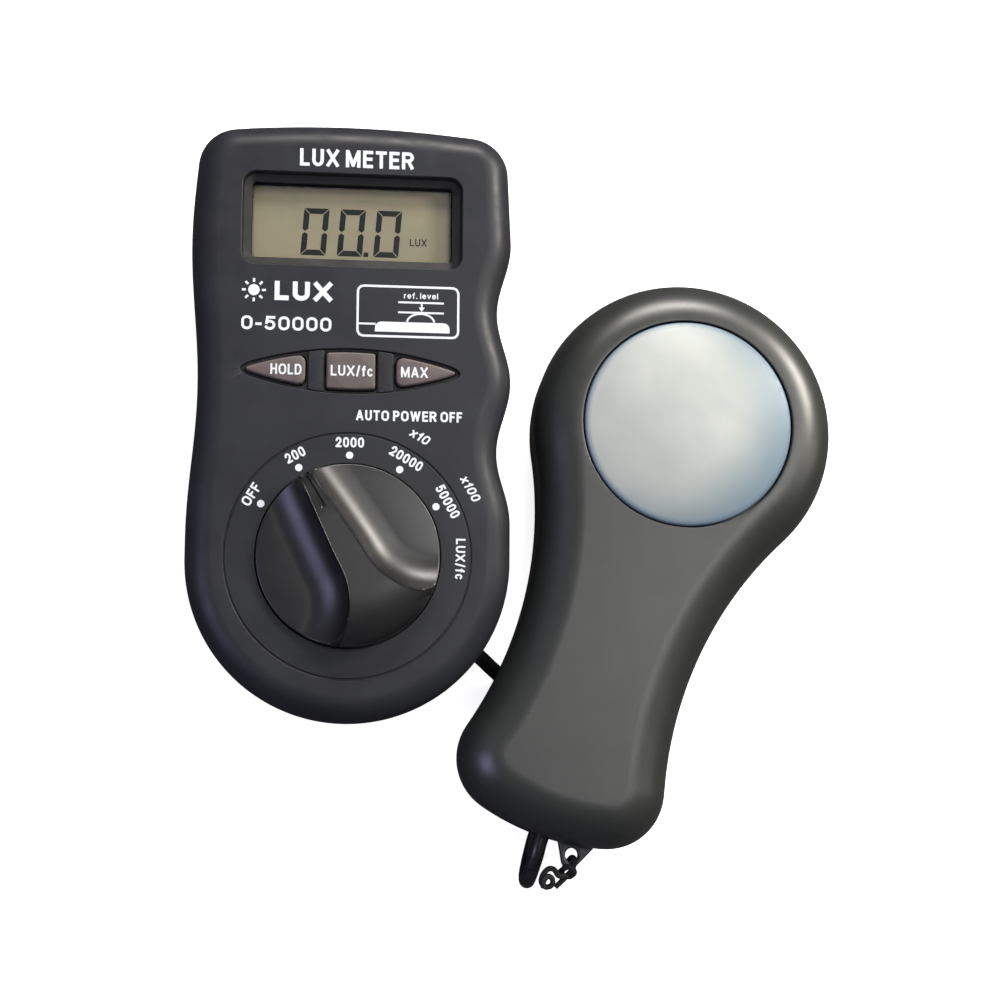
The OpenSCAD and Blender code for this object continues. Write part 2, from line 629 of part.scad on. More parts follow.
module sensor_rear_shell() color([0.18, 0.18, 0.18]) at_head() difference() {
  union() {
    mirror([0, 0, 1]) cup(head_outline, concat([[0, -head_split]], round_up(head_back_r, 0, 4)),
      [[head_back_r + 0.6, -head_wall], [head_wall, -head_back_r - 1], [head_wall, -head_split]]);
    for (p = head_posts) translate(p) drum(3, 1, head_split - 0.05);
    for (a = [30, 150, 270]) rotate(a) translate([13, 0, 0]) drum(2.4, 1, 7.9);
    translate([0, 0, head_split - 3.2]) linear_extrude(3) hull() {
      translate(eye_at) circle(r = 3.2);
      translate([eye_at[0] - 4.2, -tail_y + 1.4]) square([8.4, 1]);
    }
  }
  translate([eye_at[0], eye_at[1], 0]) drum(eye_r, 0, 20);
  for (p = head_posts) translate(p) {
    drum(2.5, -1, 4.5);
    drum(1.4, 0, 20);
  }
  for (a = [30, 150, 270]) rotate(a) translate([13, 0, 0]) drum(0.8, 3.5, 10);
  translate([cord_head_x, 3 - tail_y, head_split]) rotate([90, 0, 0]) cylinder(r = 2.35, h = 9);
  translate([cord_head_x, 6 - tail_y, head_split]) rotate([90, 0, 0]) cylinder(r = 3.3, h = 4.6);
}

module diffuser_dome() color([0.9, 0.93, 0.95]) at_head() difference() {
  union() {
    intersection() {
      translate([0, 0, head_h + dome_rise - dome_sphere]) sphere(r = dome_sphere, $fn = 96);
      drum(dome_r, head_h - 4, 40);
    }
    ring(dome_r - 2, dome_r + 1.6, head_h - 4.6, head_h - 3);
  }
  intersection() {
    translate([0, 0, head_h + dome_rise - dome_sphere]) sphere(r = dome_sphere - 1.8, $fn = 96);
    drum(dome_r - 1.8, head_h - 9, 40);
  }
}

module dome_gasket() color([0.05, 0.05, 0.05]) at_head()
  ring(dome_r + 0.3, dome_r + 1.6, head_h - 2.95, head_h - head_wall - 0.05);

module diode_holder() color([0.1, 0.1, 0.1]) at_head() difference() {
  drum(9, 9.75, 16);
  drum(7.6, 9, 14);
  drum(6.4, 9, 17);
}

module filter_glass() color([0.4, 0.7, 0.6, 0.6]) at_head() drum(7.5, 12, 13.9);

module photodiode() color([0.3, 0.3, 0.35]) at_head() {
  block([-5, -5, 9.75], [5, 5, 11]);
  block([-4, -4, 11], [4, 4, 11.3]);
}

module diode_board() color([0.1, 0.35, 0.2]) at_head() difference() {
  drum(16, 8, 9.6);
  for (a = [30, 150, 270]) rotate(a) translate([13, 0, 0]) drum(1, 5, 12);
}

module diode_leads() color([0.7, 0.1, 0.1]) at_head() for (x = [-0.7, 0.7])
  tube(smooth_path([[cord_head_x + x, 7 - tail_y, head_split], [cord_head_x + 2 * x, -70, 8],
    [5 * x, -40, 6.5], [5 * x, -22, 6.8], [5 * x, -14.5, 7.4]], 3), 0.4, 6);

module sensor_screws() color([0.6, 0.6, 0.6]) at_head() {
  for (p = head_posts) translate([p[0], p[1], 4.5]) screw(1.2, 11, 2.3, 1.4);
}

// A thin cord hitched through the eye, with two curls beside the signal cord
module tether_cord() color([0.08, 0.08, 0.08]) {
  curls = [for (i = [0:5]) let (a = 40 + 90 * i)
    beside_head(4.6 + 0.1 * i + 1.1 * cos(a), -104.1 + 1.3 * sin(a), 17.7 + 0.3 * i)];
  tube(smooth_path(concat([
    beside_head(8.9, -104.2, 15.4), head_point([eye_at[0] + 0.6, eye_at[1] - 3.4, 12.2]),
    head_point([eye_at[0] + 0.2, eye_at[1] - 0.9, 12.6]), head_point([eye_at[0], eye_at[1], 9]),
    head_point([eye_at[0] - 0.2, eye_at[1] - 1.5, 5.2]), head_point([eye_at[0] - 0.8, eye_at[1] - 4.4, 6.4]),
    head_point([eye_at[0] - 1.6, eye_at[1] - 4.4, 10.6])], curls), 4), 0.55, 8);
}

// ---- output ---------------------------------------------------------------

front_case();
rear_case();
battery_door();
display_window();
lcd_panel();
lcd_frame();
zebra_strips();
circuit_board();
main_chip();
capacitors();
trimmers();
switch_tracks();
button_switches();
range_knob();
knob_rotor();
rotor_contacts();
knob_screw();
detent_balls();
detent_springs();
hold_button();
hold_plunger();
units_button();
units_plunger();
max_button();
max_plunger();
battery();
battery_clip();
battery_leads();
case_screws();
board_screws();
cord_bushing();
cord_meter_end();
board_leads();
signal_cord();
cord_loop();
cord_sensor_end();
sensor_bushing();
sensor_front_shell();
sensor_rear_shell();
diffuser_dome();
dome_gasket();
diode_holder();
filter_glass();
photodiode();
diode_board();
diode_leads();
sensor_screws();
tether_cord();
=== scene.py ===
"""Looks for the handheld light meter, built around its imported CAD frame.

Lengths in this file are millimetres in the frame of the CAD model, and mesh points are turned into
metres when an object is made. +Z comes out of the meter's face and +Y points towards its display.
"""
import math

import bmesh
import bpy
import numpy as np
from mathutils import Matrix, Vector
from mathutils.geometry import delaunay_2d_cdt


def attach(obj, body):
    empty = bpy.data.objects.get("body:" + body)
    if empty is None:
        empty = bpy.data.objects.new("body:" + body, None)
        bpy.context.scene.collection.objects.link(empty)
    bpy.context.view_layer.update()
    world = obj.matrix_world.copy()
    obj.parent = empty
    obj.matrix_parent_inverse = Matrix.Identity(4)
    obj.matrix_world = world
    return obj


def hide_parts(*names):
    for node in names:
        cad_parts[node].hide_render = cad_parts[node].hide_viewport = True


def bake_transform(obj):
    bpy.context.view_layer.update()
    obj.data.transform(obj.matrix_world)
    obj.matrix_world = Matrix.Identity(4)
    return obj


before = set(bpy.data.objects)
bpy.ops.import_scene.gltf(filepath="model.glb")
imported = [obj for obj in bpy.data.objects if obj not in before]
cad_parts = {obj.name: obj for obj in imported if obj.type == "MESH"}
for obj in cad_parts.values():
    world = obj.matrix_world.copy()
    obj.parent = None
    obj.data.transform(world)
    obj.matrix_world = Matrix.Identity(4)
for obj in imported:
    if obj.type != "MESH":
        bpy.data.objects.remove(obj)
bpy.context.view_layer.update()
MM = 0.001

# ---------------------------------------------------------------- sizes, as in the CAD model or nearly
CASE_W, CASE_TOP, CASE_H, SPLIT, WALL = 71.2, 97.0, 30.0, 13.0, 2.2
LOW_X, LOW_Y = 0.3, -0.7                # centre of the case's round lower end
FRONT_R, BACK_R, CORNER_R, CROWN_R = 6.0, 4.0, 9.0, 260.0
HALF_W = CASE_W / 2
WAVES = (8, 71, 31.5, 3.1)              # right side: from y, to y, length of a wave, depth
HOLLOW = (4, 66, 1.9)                   # left side: from y, length, depth
CEILING = CASE_H - 2.5
KNOB_R, KNOB_TOP, KNOB_FLOOR = 19.8, 38.0, 31.2
BAR_HALF, BAR_TAPER, SCOOP_R, SCOOP_Y = 3.0, 2.0, 17.0, -1.2
VIEW = (43.6, 16.2, 74.4)
PANEL = (23.7, 5.0, 40.5)
KEY_A, KEY_B, MID_HALF, SIDE_FROM = 24.0, 4.15, 5.35, 9.9
CASE_POSTS = [(-24.9, 17), (24.9, 17), (-26.1, 87.3), (26.4, 87.4)]
HEAD_AT = np.array([77.3, 30.1, 2.0])
TURN, PITCH, ROLL = (math.radians(a) for a in (-20, -2.4, -3.5))
HEAD_R, WAIST, WAIST_Y, TAIL_Y, HEAD_H, HEAD_SPLIT = 34.4, 20.2, -57.0, 97.4, 23.5, 10.0
HEAD_WALL, HEAD_EDGE, HEAD_BACK_R = 2.2, 10.0, 5.0
END_R, TAIL_R = 55.0, 13.0              # the handle's end, and the corners beside it
DOME_R, DOME_RISE = 23.6, 3.6
CORD_R = 1.75
HEAD_POSTS = [(-20.5, 21), (20.5, 21), (-11.5, -83), (11.5, -83)]


# ---------------------------------------------------------------- outlines
def arc(cx, cy, r, a0, a1, n):
    """n + 1 points of an arc, angles in degrees."""
    t = np.radians(np.linspace(a0, a1, n + 1))
    return [(cx + r * math.cos(a), cy + r * math.sin(a)) for a in t]


def right_x(y):
    """The right side at y, with its waves for the fingers."""
    start, stop, length, depth = WAVES
    wave = 1 - math.cos(2 * math.pi * (min(max(y, start), stop) - start) / length)
    return HALF_W + LOW_X - depth / 2 * wave - max(0, y - stop) * 0.05


def left_x(y):
    """The left side at y, with its one long hollow."""
    start, length, depth = HOLLOW
    return -HALF_W + LOW_X + depth / 2 * (1 - math.cos(2 * math.pi * max(0, y - start) / length))


def crown_y(x):
    return CASE_TOP - CROWN_R + math.sqrt(CROWN_R ** 2 - x * x)


def resample(points, n):
    """n points evenly spaced round a closed outline."""
    p = np.array(points, float)
    q = np.vstack([p, p[:1]])
    s = np.concatenate([[0], np.cumsum(np.linalg.norm(np.diff(q, axis=0), axis=1))])
    t = np.linspace(0, s[-1], n, endpoint=False)
    return np.stack([np.interp(t, s, q[:, k]) for k in range(2)], axis=1)


def soften(points, n, width):
    """The outline with its corners rounded, by averaging over a length of width along it."""
    p = resample(points, n)
    length = np.linalg.norm(np.roll(p, -1, 0) - p, axis=1).sum()
    k = max(1, int(round(width / (length / n) / 2)))
    return sum(np.roll(p, i, 0) for i in range(-k, k + 1)) / (2 * k + 1)


def case_outline():
    cy = crown_y(26) - CORNER_R
    ys = np.arange(0.8, cy, 0.8)
    pts = arc(LOW_X, LOW_Y, HALF_W, 180, 360, 110)
    pts += [(right_x(y), y) for y in ys]
    pts += arc(right_x(cy) - CORNER_R, cy, CORNER_R, 0, 84, 24)
    pts += [(x, crown_y(x)) for x in np.arange(24, -24.5, -1.5)]
    pts += arc(left_x(cy) + CORNER_R, cy, CORNER_R, 96, 180, 24)
    pts += [(left_x(y), y) for y in ys[::-1]]
    return soften(pts, 460, 2.0)


def head_outline():
    """Round front, hollow flanks, rounded corners and a faintly round end, all tangent arcs."""
    flank_r = (WAIST ** 2 + WAIST_Y ** 2 - HEAD_R ** 2) / (2 * (HEAD_R - WAIST))
    flank = np.array([WAIST + flank_r, WAIST_Y])
    end = np.array([0, END_R - TAIL_Y])
    gap = np.linalg.norm(flank - end)
    u = (flank - end) / gap
    reach = END_R - TAIL_R
    along = (reach ** 2 - (flank_r + TAIL_R) ** 2 + gap ** 2) / (2 * gap)
    off = math.sqrt(reach ** 2 - along ** 2)
    tail = end + u * along + off * np.array([u[1], -u[0]])
    end_a = math.degrees(math.atan2(tail[1] - end[1], tail[0]))
    side_a = math.degrees(math.atan2(flank[1] - tail[1], flank[0] - tail[0]))
    tangent = math.degrees(math.atan2(flank[1], flank[0]))
    right = arc(*end, END_R, -90, end_a, 12)
    right += arc(*tail, TAIL_R, end_a, side_a, 30)
    right += arc(*flank, flank_r, 180 + side_a, 180 + tangent, 60)
    right += arc(0, 0, HEAD_R, tangent, 90, 90)
    return soften(right + [(-x, y) for x, y in right[::-1]], 420, 2.4)


def inset(pts, d):
    """The outline moved inwards by d, along its normals."""
    p = np.asarray(pts, float)
    t = np.roll(p, -1, 0) - np.roll(p, 1, 0)
    t /= np.linalg.norm(t, axis=1)[:, None]
    return p + d * np.stack([-t[:, 1], t[:, 0]], axis=1)


def circle(cx, cy, r, n):
    return np.array(arc(cx, cy, r, 0, 360, n)[:-1])


def oval(cy, a, b, n, blunt):
    """A pointed oval of two arcs, half length a and half height b, blunted over a length at its tips."""
    r = (a * a + b * b) / (2 * b)
    h = math.asin(a / r)
    low = [(r * math.sin(t), cy + r - b - r * math.cos(t)) for t in np.linspace(-h, h, 81)]
    high = [(r * math.sin(t), cy + r * math.cos(t) - r + b) for t in np.linspace(h, -h, 81)]
    return soften(low + high[1:-1], n, blunt)


def oval_band(xs, a, b):
    """The part of a pointed oval, half length a and half height b, that lies over a range of x."""
    r = (a * a + b * b) / (2 * b)
    up = [(x, math.sqrt(r * r - x * x) - r + b) for x in xs]
    return [(x, PANEL[2] - y) for x, y in up] + [(x, PANEL[2] + y) for x, y in up[::-1]]


def rounded_rect(cx, cy, w, h, r, n):
    pts = []
    for sx, sy, a in ((1, -1, -90), (1, 1, 0), (-1, 1, 90), (-1, -1, 180)):
        pts += arc(cx + sx * (w / 2 - r), cy + sy * (h / 2 - r), r, a, a + 90, 12)
    return resample(pts, n)


def key_outline(which, grow, n):
    """Outline of one button: -1 is the left one, 0 the middle one, 1 the right one."""
    a, b = KEY_A + grow, KEY_B + grow
    if which == 0:
        xs = np.linspace(-MID_HALF - grow, MID_HALF + grow, 40)
    else:
        xs = np.linspace(SIDE_FROM - grow, a - 0.02, 70)
    pts = soften(oval_band(xs, a, b), n, 1.1 if which == 0 else 4.2)
    return pts[::-1] * np.array([-1, 1]) if which == -1 else pts


# ---------------------------------------------------------------- mesh building
class Mesher:
    """Collects points in millimetres, joined by loops, and makes one object of them."""

    def __init__(self):
        self.v = []
        self.f = []
        self.slots = []
        self.slot = 0

    def loop(self, pts, z=None):
        start = len(self.v)
        for i, p in enumerate(pts):
            h = p[2] if z is None else (z[i] if hasattr(z, "__len__") else z)
            self.v.append((float(p[0]), float(p[1]), float(h)))
        return list(range(start, len(self.v)))

    def add(self, face):
        self.f.append(tuple(face))
        self.slots.append(self.slot)

    def bridge(self, a, b, closed=True):
        n = len(a)
        for i in range(n if closed else n - 1):
            j = (i + 1) % n
            self.add((a[i], a[j], b[j], b[i]))

    def join(self, loops, closed=True):
        """Bridges each loop to the next; returns the first and the last."""
        for a, b in zip(loops, loops[1:]):
            self.bridge(a, b, closed)
        return loops[0], loops[-1]

    def chain(self, outline, levels):
        """Joined loops of one outline at levels of (inset, z)."""
        return self.join([self.loop(inset(outline, d), z) for d, z in levels])

    def rings(self, profile, n=300, x=0, y=0):
        """Joined circles round (x, y) at (radius, z) each."""
        return self.join([self.loop(circle(x, y, r, n), z) for r, z in profile])

    def solid(self, outline, levels):
        """A closed solid of one outline at levels of (inset, z)."""
        for end in self.chain(outline, levels):
            self.fill(end)

    def fill(self, outer, holes=()):
        """Triangles between an outer loop and its holes, all in one plane."""
        ids = list(outer)
        edges = [(i, (i + 1) % len(outer)) for i in range(len(outer))]
        for h in holes:
            k = len(ids)
            ids += h
            edges += [(k + i, k + (i + 1) % len(h)) for i in range(len(h))]
        co = [Vector(self.v[i][:2]) for i in ids]
        out, _, tris, orig, _, _ = delaunay_2d_cdt(co, edges, [], 0, 1e-7, True)
        height = self.v[outer[0]][2]
        where = []
        for k, p in enumerate(out):
            if k < len(orig) and orig[k]:
                where.append(ids[orig[k][0]])
            else:
                where.append(self.loop([(p[0], p[1])], height)[0])
        faces = [[where[i] for i in t] for t in tris]
        mid = np.array([np.mean([self.v[i][:2] for i in f], axis=0) for f in faces])
        polys = [np.array([self.v[i][:2] for i in loop]) for loop in (outer, *holes)]
        keep = inside(mid, *polys)
        for f, wanted in zip(faces, keep):
            if wanted:
                self.add(f)

    def object(self, name, materials, angle=35, weighted=True, at=None):
        """The mesh as an object, its points moved by at, smooth up to an angle between faces."""
        me = bpy.data.meshes.new(name)
        pts = np.array(self.v)
        if at is not None:
            pts = at(pts)
        me.from_pydata((pts * MM).tolist(), [], self.f)
        for m in materials if isinstance(materials, (list, tuple)) else [materials]:
            me.materials.append(m)
        me.polygons.foreach_set("material_index", self.slots)
        me.update()
        tidy_mesh(me, angle)
        ob = bpy.data.objects.new(name, me)
        bpy.context.scene.collection.objects.link(ob)
        if weighted:
            mod = ob.modifiers.new("normals", "WEIGHTED_NORMAL")
            mod.keep_sharp = True
        return ob


def inside(points, outline, *holes):
    """Which of many points lie inside a closed outline and in none of its holes."""
    x, y = outline[:, 0][None], outline[:, 1][None]
    x2, y2 = np.roll(x, -1, 1), np.roll(y, -1, 1)
    px, py = points[:, 0][:, None], points[:, 1][:, None]
    cross = (y > py) != (y2 > py)
    dy = np.where(y2 == y, 1e-12, y2 - y)
    found = np.count_nonzero(cross & (px < (x2 - x) * (py - y) / dy + x), axis=1) % 2 == 1
    for hole in holes:
        found &= ~inside(points, hole)
    return found


def shade(bm, angle):
    """Smooth faces, with the edges sharper than the angle marked."""
    for f in bm.faces:
        f.smooth = True
    for e in bm.edges:
        e.smooth = not (len(e.link_faces) == 2 and e.calc_face_angle(0) > math.radians(angle))


def tidy_mesh(me, angle):
    """Joins doubled points, turns faces outwards, and marks edges sharper than the angle."""
    bm = bmesh.new()
    bm.from_mesh(me)
    bmesh.ops.remove_doubles(bm, verts=bm.verts, dist=1e-6)
    bmesh.ops.dissolve_degenerate(bm, edges=bm.edges, dist=1e-7)
    bmesh.ops.recalc_face_normals(bm, faces=bm.faces)
    shade(bm, angle)
    bm.to_mesh(me)
    bm.free()
    me.update()


def place(ob, body, slot=None, *nodes):
    """Puts a piece on its body, in place of the named CAD nodes; its material slot's name, slot, is not
    used.
    """
    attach(ob, body)
    if nodes:
        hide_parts(*nodes)
    return ob


def boolean(ob, cutter, operation="DIFFERENCE", angle=35):
    """Cuts one object with another, or joins them, and removes the tool."""
    mod = ob.modifiers.new("cut", "BOOLEAN")
    mod.operation = operation
    mod.solver = "EXACT"
    mod.object = cutter
    keep = [m for m in ob.modifiers if m.type == "WEIGHTED_NORMAL"]
    for m in keep:
        m.show_viewport = False
    deps = bpy.context.evaluated_depsgraph_get()
    me = bpy.data.meshes.new_from_object(ob.evaluated_get(deps))
    ob.modifiers.remove(mod)
    old = ob.data
    ob.data = me
    bpy.data.meshes.remove(old)
    tidy_mesh(me, angle)
    for m in keep:
        m.show_viewport = True
    bpy.data.objects.remove(cutter, do_unlink=True)


def quarter(r, z, n):
    """Levels of an edge rounded by r that ends at height z, from its side up to its top."""
    a = [math.pi / 2 * i / n for i in range(n + 1)]
    return [(r * (1 - math.cos(t)), z - r + r * math.sin(t)) for t in a]


def lower_quarter(r, z, n):
    """Levels of an edge rounded by r that starts at height z, from its underside up to its side."""
    return [(d, 2 * z - h) for d, h in quarter(r, z, n)][::-1]


def prism(name, outline, z0, z1, materials, edge=0.3, at=None):
    """A solid of one outline with its two ends' edges rounded."""
    m = Mesher()
    m.solid(outline, lower_quarter(edge, z0, 4) + quarter(edge, z1, 4))
    return m.object(name, materials, at=at)


def revolve(name, profile, materials, n=160, at=None, angle=35, centre=(0, 0)):
    """A turned piece: profile is a list of (radius, z), and a radius of 0 closes an end."""
    m = Mesher()
    loops = [m.loop(circle(*centre, r, n) if r > 1e-6 else [centre], z) for r, z in profile]
    for a, b in zip(loops, loops[1:]):
        if len(a) == 1 or len(b) == 1:
            tip, ring = (a[0], b) if len(a) == 1 else (b[0], a)
            for i in range(len(ring)):
                m.add((ring[i], ring[(i + 1) % len(ring)], tip))
        else:
            m.bridge(a, b)
    return m.object(name, materials, at=at, angle=angle)


def catmull(knots, n):
    """A smooth curve through the knots, with n points from one to the next."""
    k = [np.array(p, float) for p in knots]
    out = []
    for i in range(len(k) - 1):
        p0, p1, p2, p3 = k[max(i - 1, 0)], k[i], k[i + 1], k[min(i + 2, len(k) - 1)]
        for s in range(n):
            t = s / n
            out.append(0.5 * (2 * p1 + (p2 - p0) * t + (2 * p0 - 5 * p1 + 4 * p2 - p3) * t * t
                              + (3 * p1 - p0 - 3 * p2 + p3) * t ** 3))
    out.append(k[-1])
    return np.array(out)


def tube(name, path, radius, materials, sides=24):
    """A round tube along a path: capped at its first end, and closed just inside its last one."""
    path = np.asarray(path, float)
    dirs = np.gradient(path, axis=0)
    dirs /= np.linalg.norm(dirs, axis=1)[:, None]
    side = np.cross(dirs[0], [0, 0, 1])
    if np.linalg.norm(side) < 0.1:
        side = np.cross(dirs[0], [1, 0, 0])
    rings = []
    for p, along in zip(path, dirs):
        side = side - along * side.dot(along)
        side /= np.linalg.norm(side)
        rings.append((p, side, np.cross(side, along), radius))
    for ring, way in ((0, -dirs[0]), (-3, dirs[-1])):
        p, a, b, r = rings[ring]
        cap = [(p + way * k * r, a, b, q * r) for k, q in ((0.12, 0.95), (0.2, 0.8))]
        rings = cap[::-1] + rings if ring == 0 else rings + cap
    m = Mesher()
    around = np.linspace(0, 2 * math.pi, sides, endpoint=False)
    ends = m.join([m.loop([p + r * (math.cos(t) * a + math.sin(t) * b) for t in around])
                   for p, a, b, r in rings])
    for end in ends:
        m.add(end)
    return m.object(name, materials, angle=50, weighted=False)


# ---------------------------------------------------------------- the sensor head's own axes
def rot_x(a):
    return np.array([[1, 0, 0], [0, math.cos(a), -math.sin(a)], [0, math.sin(a), math.cos(a)]])


def rot_y(a):
    return np.array([[math.cos(a), 0, math.sin(a)], [0, 1, 0], [-math.sin(a), 0, math.cos(a)]])


def rot_z(a):
    return np.array([[math.cos(a), -math.sin(a), 0], [math.sin(a), math.cos(a), 0], [0, 0, 1]])


HEAD_ROT = rot_z(TURN) @ rot_x(PITCH) @ rot_y(ROLL)


def at_head(p):
    """Points in the sensor head's own axes, moved to where the head lies."""
    return np.asarray(p, float) @ HEAD_ROT.T + HEAD_AT


def beside_head(x, y, z):
    """A point given by its place along the head's axes, at height z over the table."""
    p = rot_z(TURN) @ np.array([x, y, 0])
    return np.array([HEAD_AT[0] + p[0], HEAD_AT[1] + p[1], z])


# ---------------------------------------------------------------- materials
def lin(*srgb):
    """Linear colour from 0-255 display values."""
    out = []
    for c in srgb:
        c /= 255
        out.append(c / 12.92 if c <= 0.04045 else ((c + 0.055) / 1.055) ** 2.4)
    return (*out, 1.0)


class Shader:
    """A small helper that wires a procedural principled material."""

    def __init__(self, name):
        self.mat = bpy.data.materials.new(name)
        self.mat.use_nodes = True
        self.nodes = self.mat.node_tree.nodes
        self.links = self.mat.node_tree.links
        self.bsdf = self.nodes["Principled BSDF"]
        self.coord = self.node("TexCoord").outputs["Object"]

    def node(self, kind, source=None, key="Vector", **values):
        """A new node with its input values by name, fed by source at the input called key."""
        node = self.nodes.new("ShaderNode" + kind)
        for name, value in values.items():
            node.inputs[name.replace("_", " ")].default_value = value
        if source is not None:
            self.links.new(source, node.inputs[key])
        return node

    def put(self, key, value):
        self.bsdf.inputs[key].default_value = value

    def link(self, out, key):
        self.links.new(out, self.bsdf.inputs[key])

    def noise(self, size_mm, detail=2.0, rough=0.5, stretch=None):
        src = self.coord
        if stretch:
            src = self.node("Mapping", src, Scale=stretch).outputs["Vector"]
        grain = self.node("TexNoise", src, Scale=1 / (size_mm * MM), Detail=detail, Roughness=rough)
        return grain.outputs["Fac"]

    def ramp(self, fac, low, high, a=0.35, b=0.65, smooth=False):
        """Maps a to b onto low to high, and holds the values outside them."""
        r = self.node("MapRange", fac, "Value", From_Min=a, From_Max=b, To_Min=low, To_Max=high)
        if smooth:
            r.interpolation_type = "SMOOTHSTEP"
        return r.outputs["Result"]

    def distance(self, point_mm):
        """Distance from a point of the frame, in metres."""
        gap = self.node("VectorMath", self.coord, 0)
        gap.operation = "DISTANCE"
        gap.inputs[1].default_value = Vector(point_mm) * MM
        return gap.outputs["Value"]

    def mix(self, fac, a, b):
        m = self.node("Mix")
        m.data_type = "RGBA"
        m.clamp_factor = True
        self.links.new(fac, m.inputs["Factor"])
        for key, value in (("A", a), ("B", b)):
            socket = [i for i in m.inputs if i.name == key and i.type == "RGBA"][0]
            if isinstance(value, tuple):
                socket.default_value = value
            else:
                self.links.new(value, socket)
        return [o for o in m.outputs if o.type == "RGBA"][0]

    def bump(self, height, depth_mm, strength=1.0, after=None):
        b = self.node("Bump", height, "Height", Strength=strength, Distance=depth_mm * MM)
        if after:
            self.links.new(after, b.inputs["Normal"])
        self.link(b.outputs["Normal"], "Normal")
        return b.outputs["Normal"]

    def done(self, colour, rough, relief=None, **values):
        """Links the colour and roughness, a bump of (height, depth, strength) and plain values."""
        self.link(colour, "Base Color")
        self.link(rough, "Roughness")
        if relief:
            self.bump(*relief)
        for name, value in values.items():
            self.put(name.replace("_", " "), value)
        return self.mat


def shaded(colour, k, more=0.0):
    """A colour made k times as bright, plus a little more."""
    return tuple(min(1, c * k + more) for c in colour[:3]) + (1,)


def plastic(name, colour, rough, grain, depth, vary=0.12, spec=0.5, uneven=1.0):
    """Moulded plastic: fine eroded grain, cloudy gloss, faint rubbed patches and dust."""
    s = Shader(name)
    cloud = s.noise(14, 3, 0.55)
    base = s.mix(s.ramp(cloud, 0, 1), shaded(colour, 1 - vary), shaded(colour, 1 + vary))
    fleck = s.ramp(s.noise(0.35, 2, 0.7), 0, 0.25, 0.55, 0.8)
    s.link(s.mix(fleck, base, shaded(colour, 1.6, 0.004)), "Base Color")
    s.link(s.ramp(s.noise(5, 4, 0.6), rough - 0.05 * uneven, rough + 0.06 * uneven), "Roughness")
    s.put("Specular IOR Level", spec)
    n = s.bump(s.noise(grain, 2, 0.6), depth, 0.55)
    s.bump(s.noise(9, 2), 0.05 * uneven, 0.25, n)
    return s.mat


def metal(name, colour, rough=0.3, stretch=(1, 1, 8)):
    """Brushed metal, its scratches drawn out along Z."""
    s = Shader(name)
    scratch = s.noise(0.5, 3, 0.6, stretch)
    base = s.mix(s.ramp(scratch, 0, 1), shaded(colour, 0.8), colour)
    return s.done(base, s.ramp(scratch, rough - 0.08, rough + 0.12), (scratch, 0.01, 0.4), Metallic=1.0)


# key: (material name, linear colour, roughness, grain in mm, depth of the grain in mm, more)
PLASTICS = {
    "case": ("case_plastic", (0.0202, 0.0217, 0.0262, 1), 0.42, 0.2, 0.016, {"spec": 0.3}),
    # a darker copy of the case's plastic for the display's sill and lip: painted shade in the recess
    "recess": ("recess_plastic", (0.0145, 0.0148, 0.0155, 1), 0.5, 0.2, 0.01, {"spec": 0.25}),
    # a much darker copy of the case's plastic for the knob's bore and the button recess: painted shade in
    # these hollows
    "well": ("well_plastic", (0.008, 0.008, 0.0085, 1), 0.6, 0.3, 0.01, {}),
    "knob": ("knob_plastic", (0.0055, 0.0057, 0.0066, 1), 0.37, 0.14, 0.004,
             {"vary": 0.08, "spec": 0.75, "uneven": 0.3}),
    "key": ("key_plastic", (0.104, 0.083, 0.081, 1), 0.5, 0.12, 0.008, {"vary": 0.08}),
    "sensor": ("sensor_plastic", (0.0195, 0.0222, 0.0203, 1), 0.37, 0.2, 0.012,
               {"vary": 0.05, "spec": 0.8, "uneven": 0.3}),
    "cord": ("cord_vinyl", (0.012, 0.012, 0.0128, 1), 0.28, 0.6, 0.01, {"vary": 0.2}),
    "rubber": ("black_rubber", (0.010, 0.010, 0.010, 1), 0.7, 0.3, 0.02, {}),
    "frame": ("frame_plastic", (0.012, 0.012, 0.012, 1), 0.5, 0.3, 0.01, {}),
    "vinyl": ("clip_vinyl", (0.02, 0.02, 0.02, 1), 0.35, 0.5, 0.02, {}),
    "rotor": ("rotor_acetal", (0.66, 0.65, 0.58, 1), 0.35, 0.5, 0.01, {"vary": 0.04}),
    "leads": ("lead_insulation", (0.42, 0.03, 0.02, 1), 0.35, 0.5, 0.01, {}),
    "blue": ("trimmer_blue", (0.03, 0.12, 0.5, 1), 0.3, 0.4, 0.01, {}),
    "can": ("capacitor_sleeve", (0.03, 0.05, 0.18, 1), 0.25, 0.5, 0.01, {}),
    "zebra": ("zebra_rubber", (0.55, 0.2, 0.3, 1), 0.6, 0.15, 0.03, {})}
M = {key: plastic(*row[:-1], **row[-1]) for key, row in PLASTICS.items()}
M["steel"] = metal("steel", (0.62, 0.61, 0.58, 1))
M["gold"] = metal("gold_plate", (0.85, 0.62, 0.25, 1), 0.25)
M["bronze"] = metal("spring_bronze", (0.72, 0.48, 0.25, 1))
M["silicon"] = metal("silicon", (0.1, 0.1, 0.16, 1), 0.15, (1, 1, 1))


def print_material():
    """White silk-screen ink, faintly broken at its edges."""
    s = Shader("print_white")
    thin = s.ramp(s.noise(0.25, 3, 0.7), 0, 0.35, 0.62, 0.85)
    ink = s.mix(thin, lin(222, 228, 233), lin(150, 155, 160))
    return s.done(ink, s.ramp(s.noise(0.6), 0.45, 0.6), (s.noise(0.12, 2), 0.004, 0.5))


def board_material():
    s = Shader("board_laminate")
    weave = s.noise(0.5, 1, 0.5, (1, 1, 4))
    green = s.mix(s.ramp(weave, 0, 1), (0.015, 0.13, 0.05, 1), (0.03, 0.2, 0.08, 1))
    return s.done(green, s.ramp(s.noise(3), 0.25, 0.4), (weave, 0.01, 0.5))


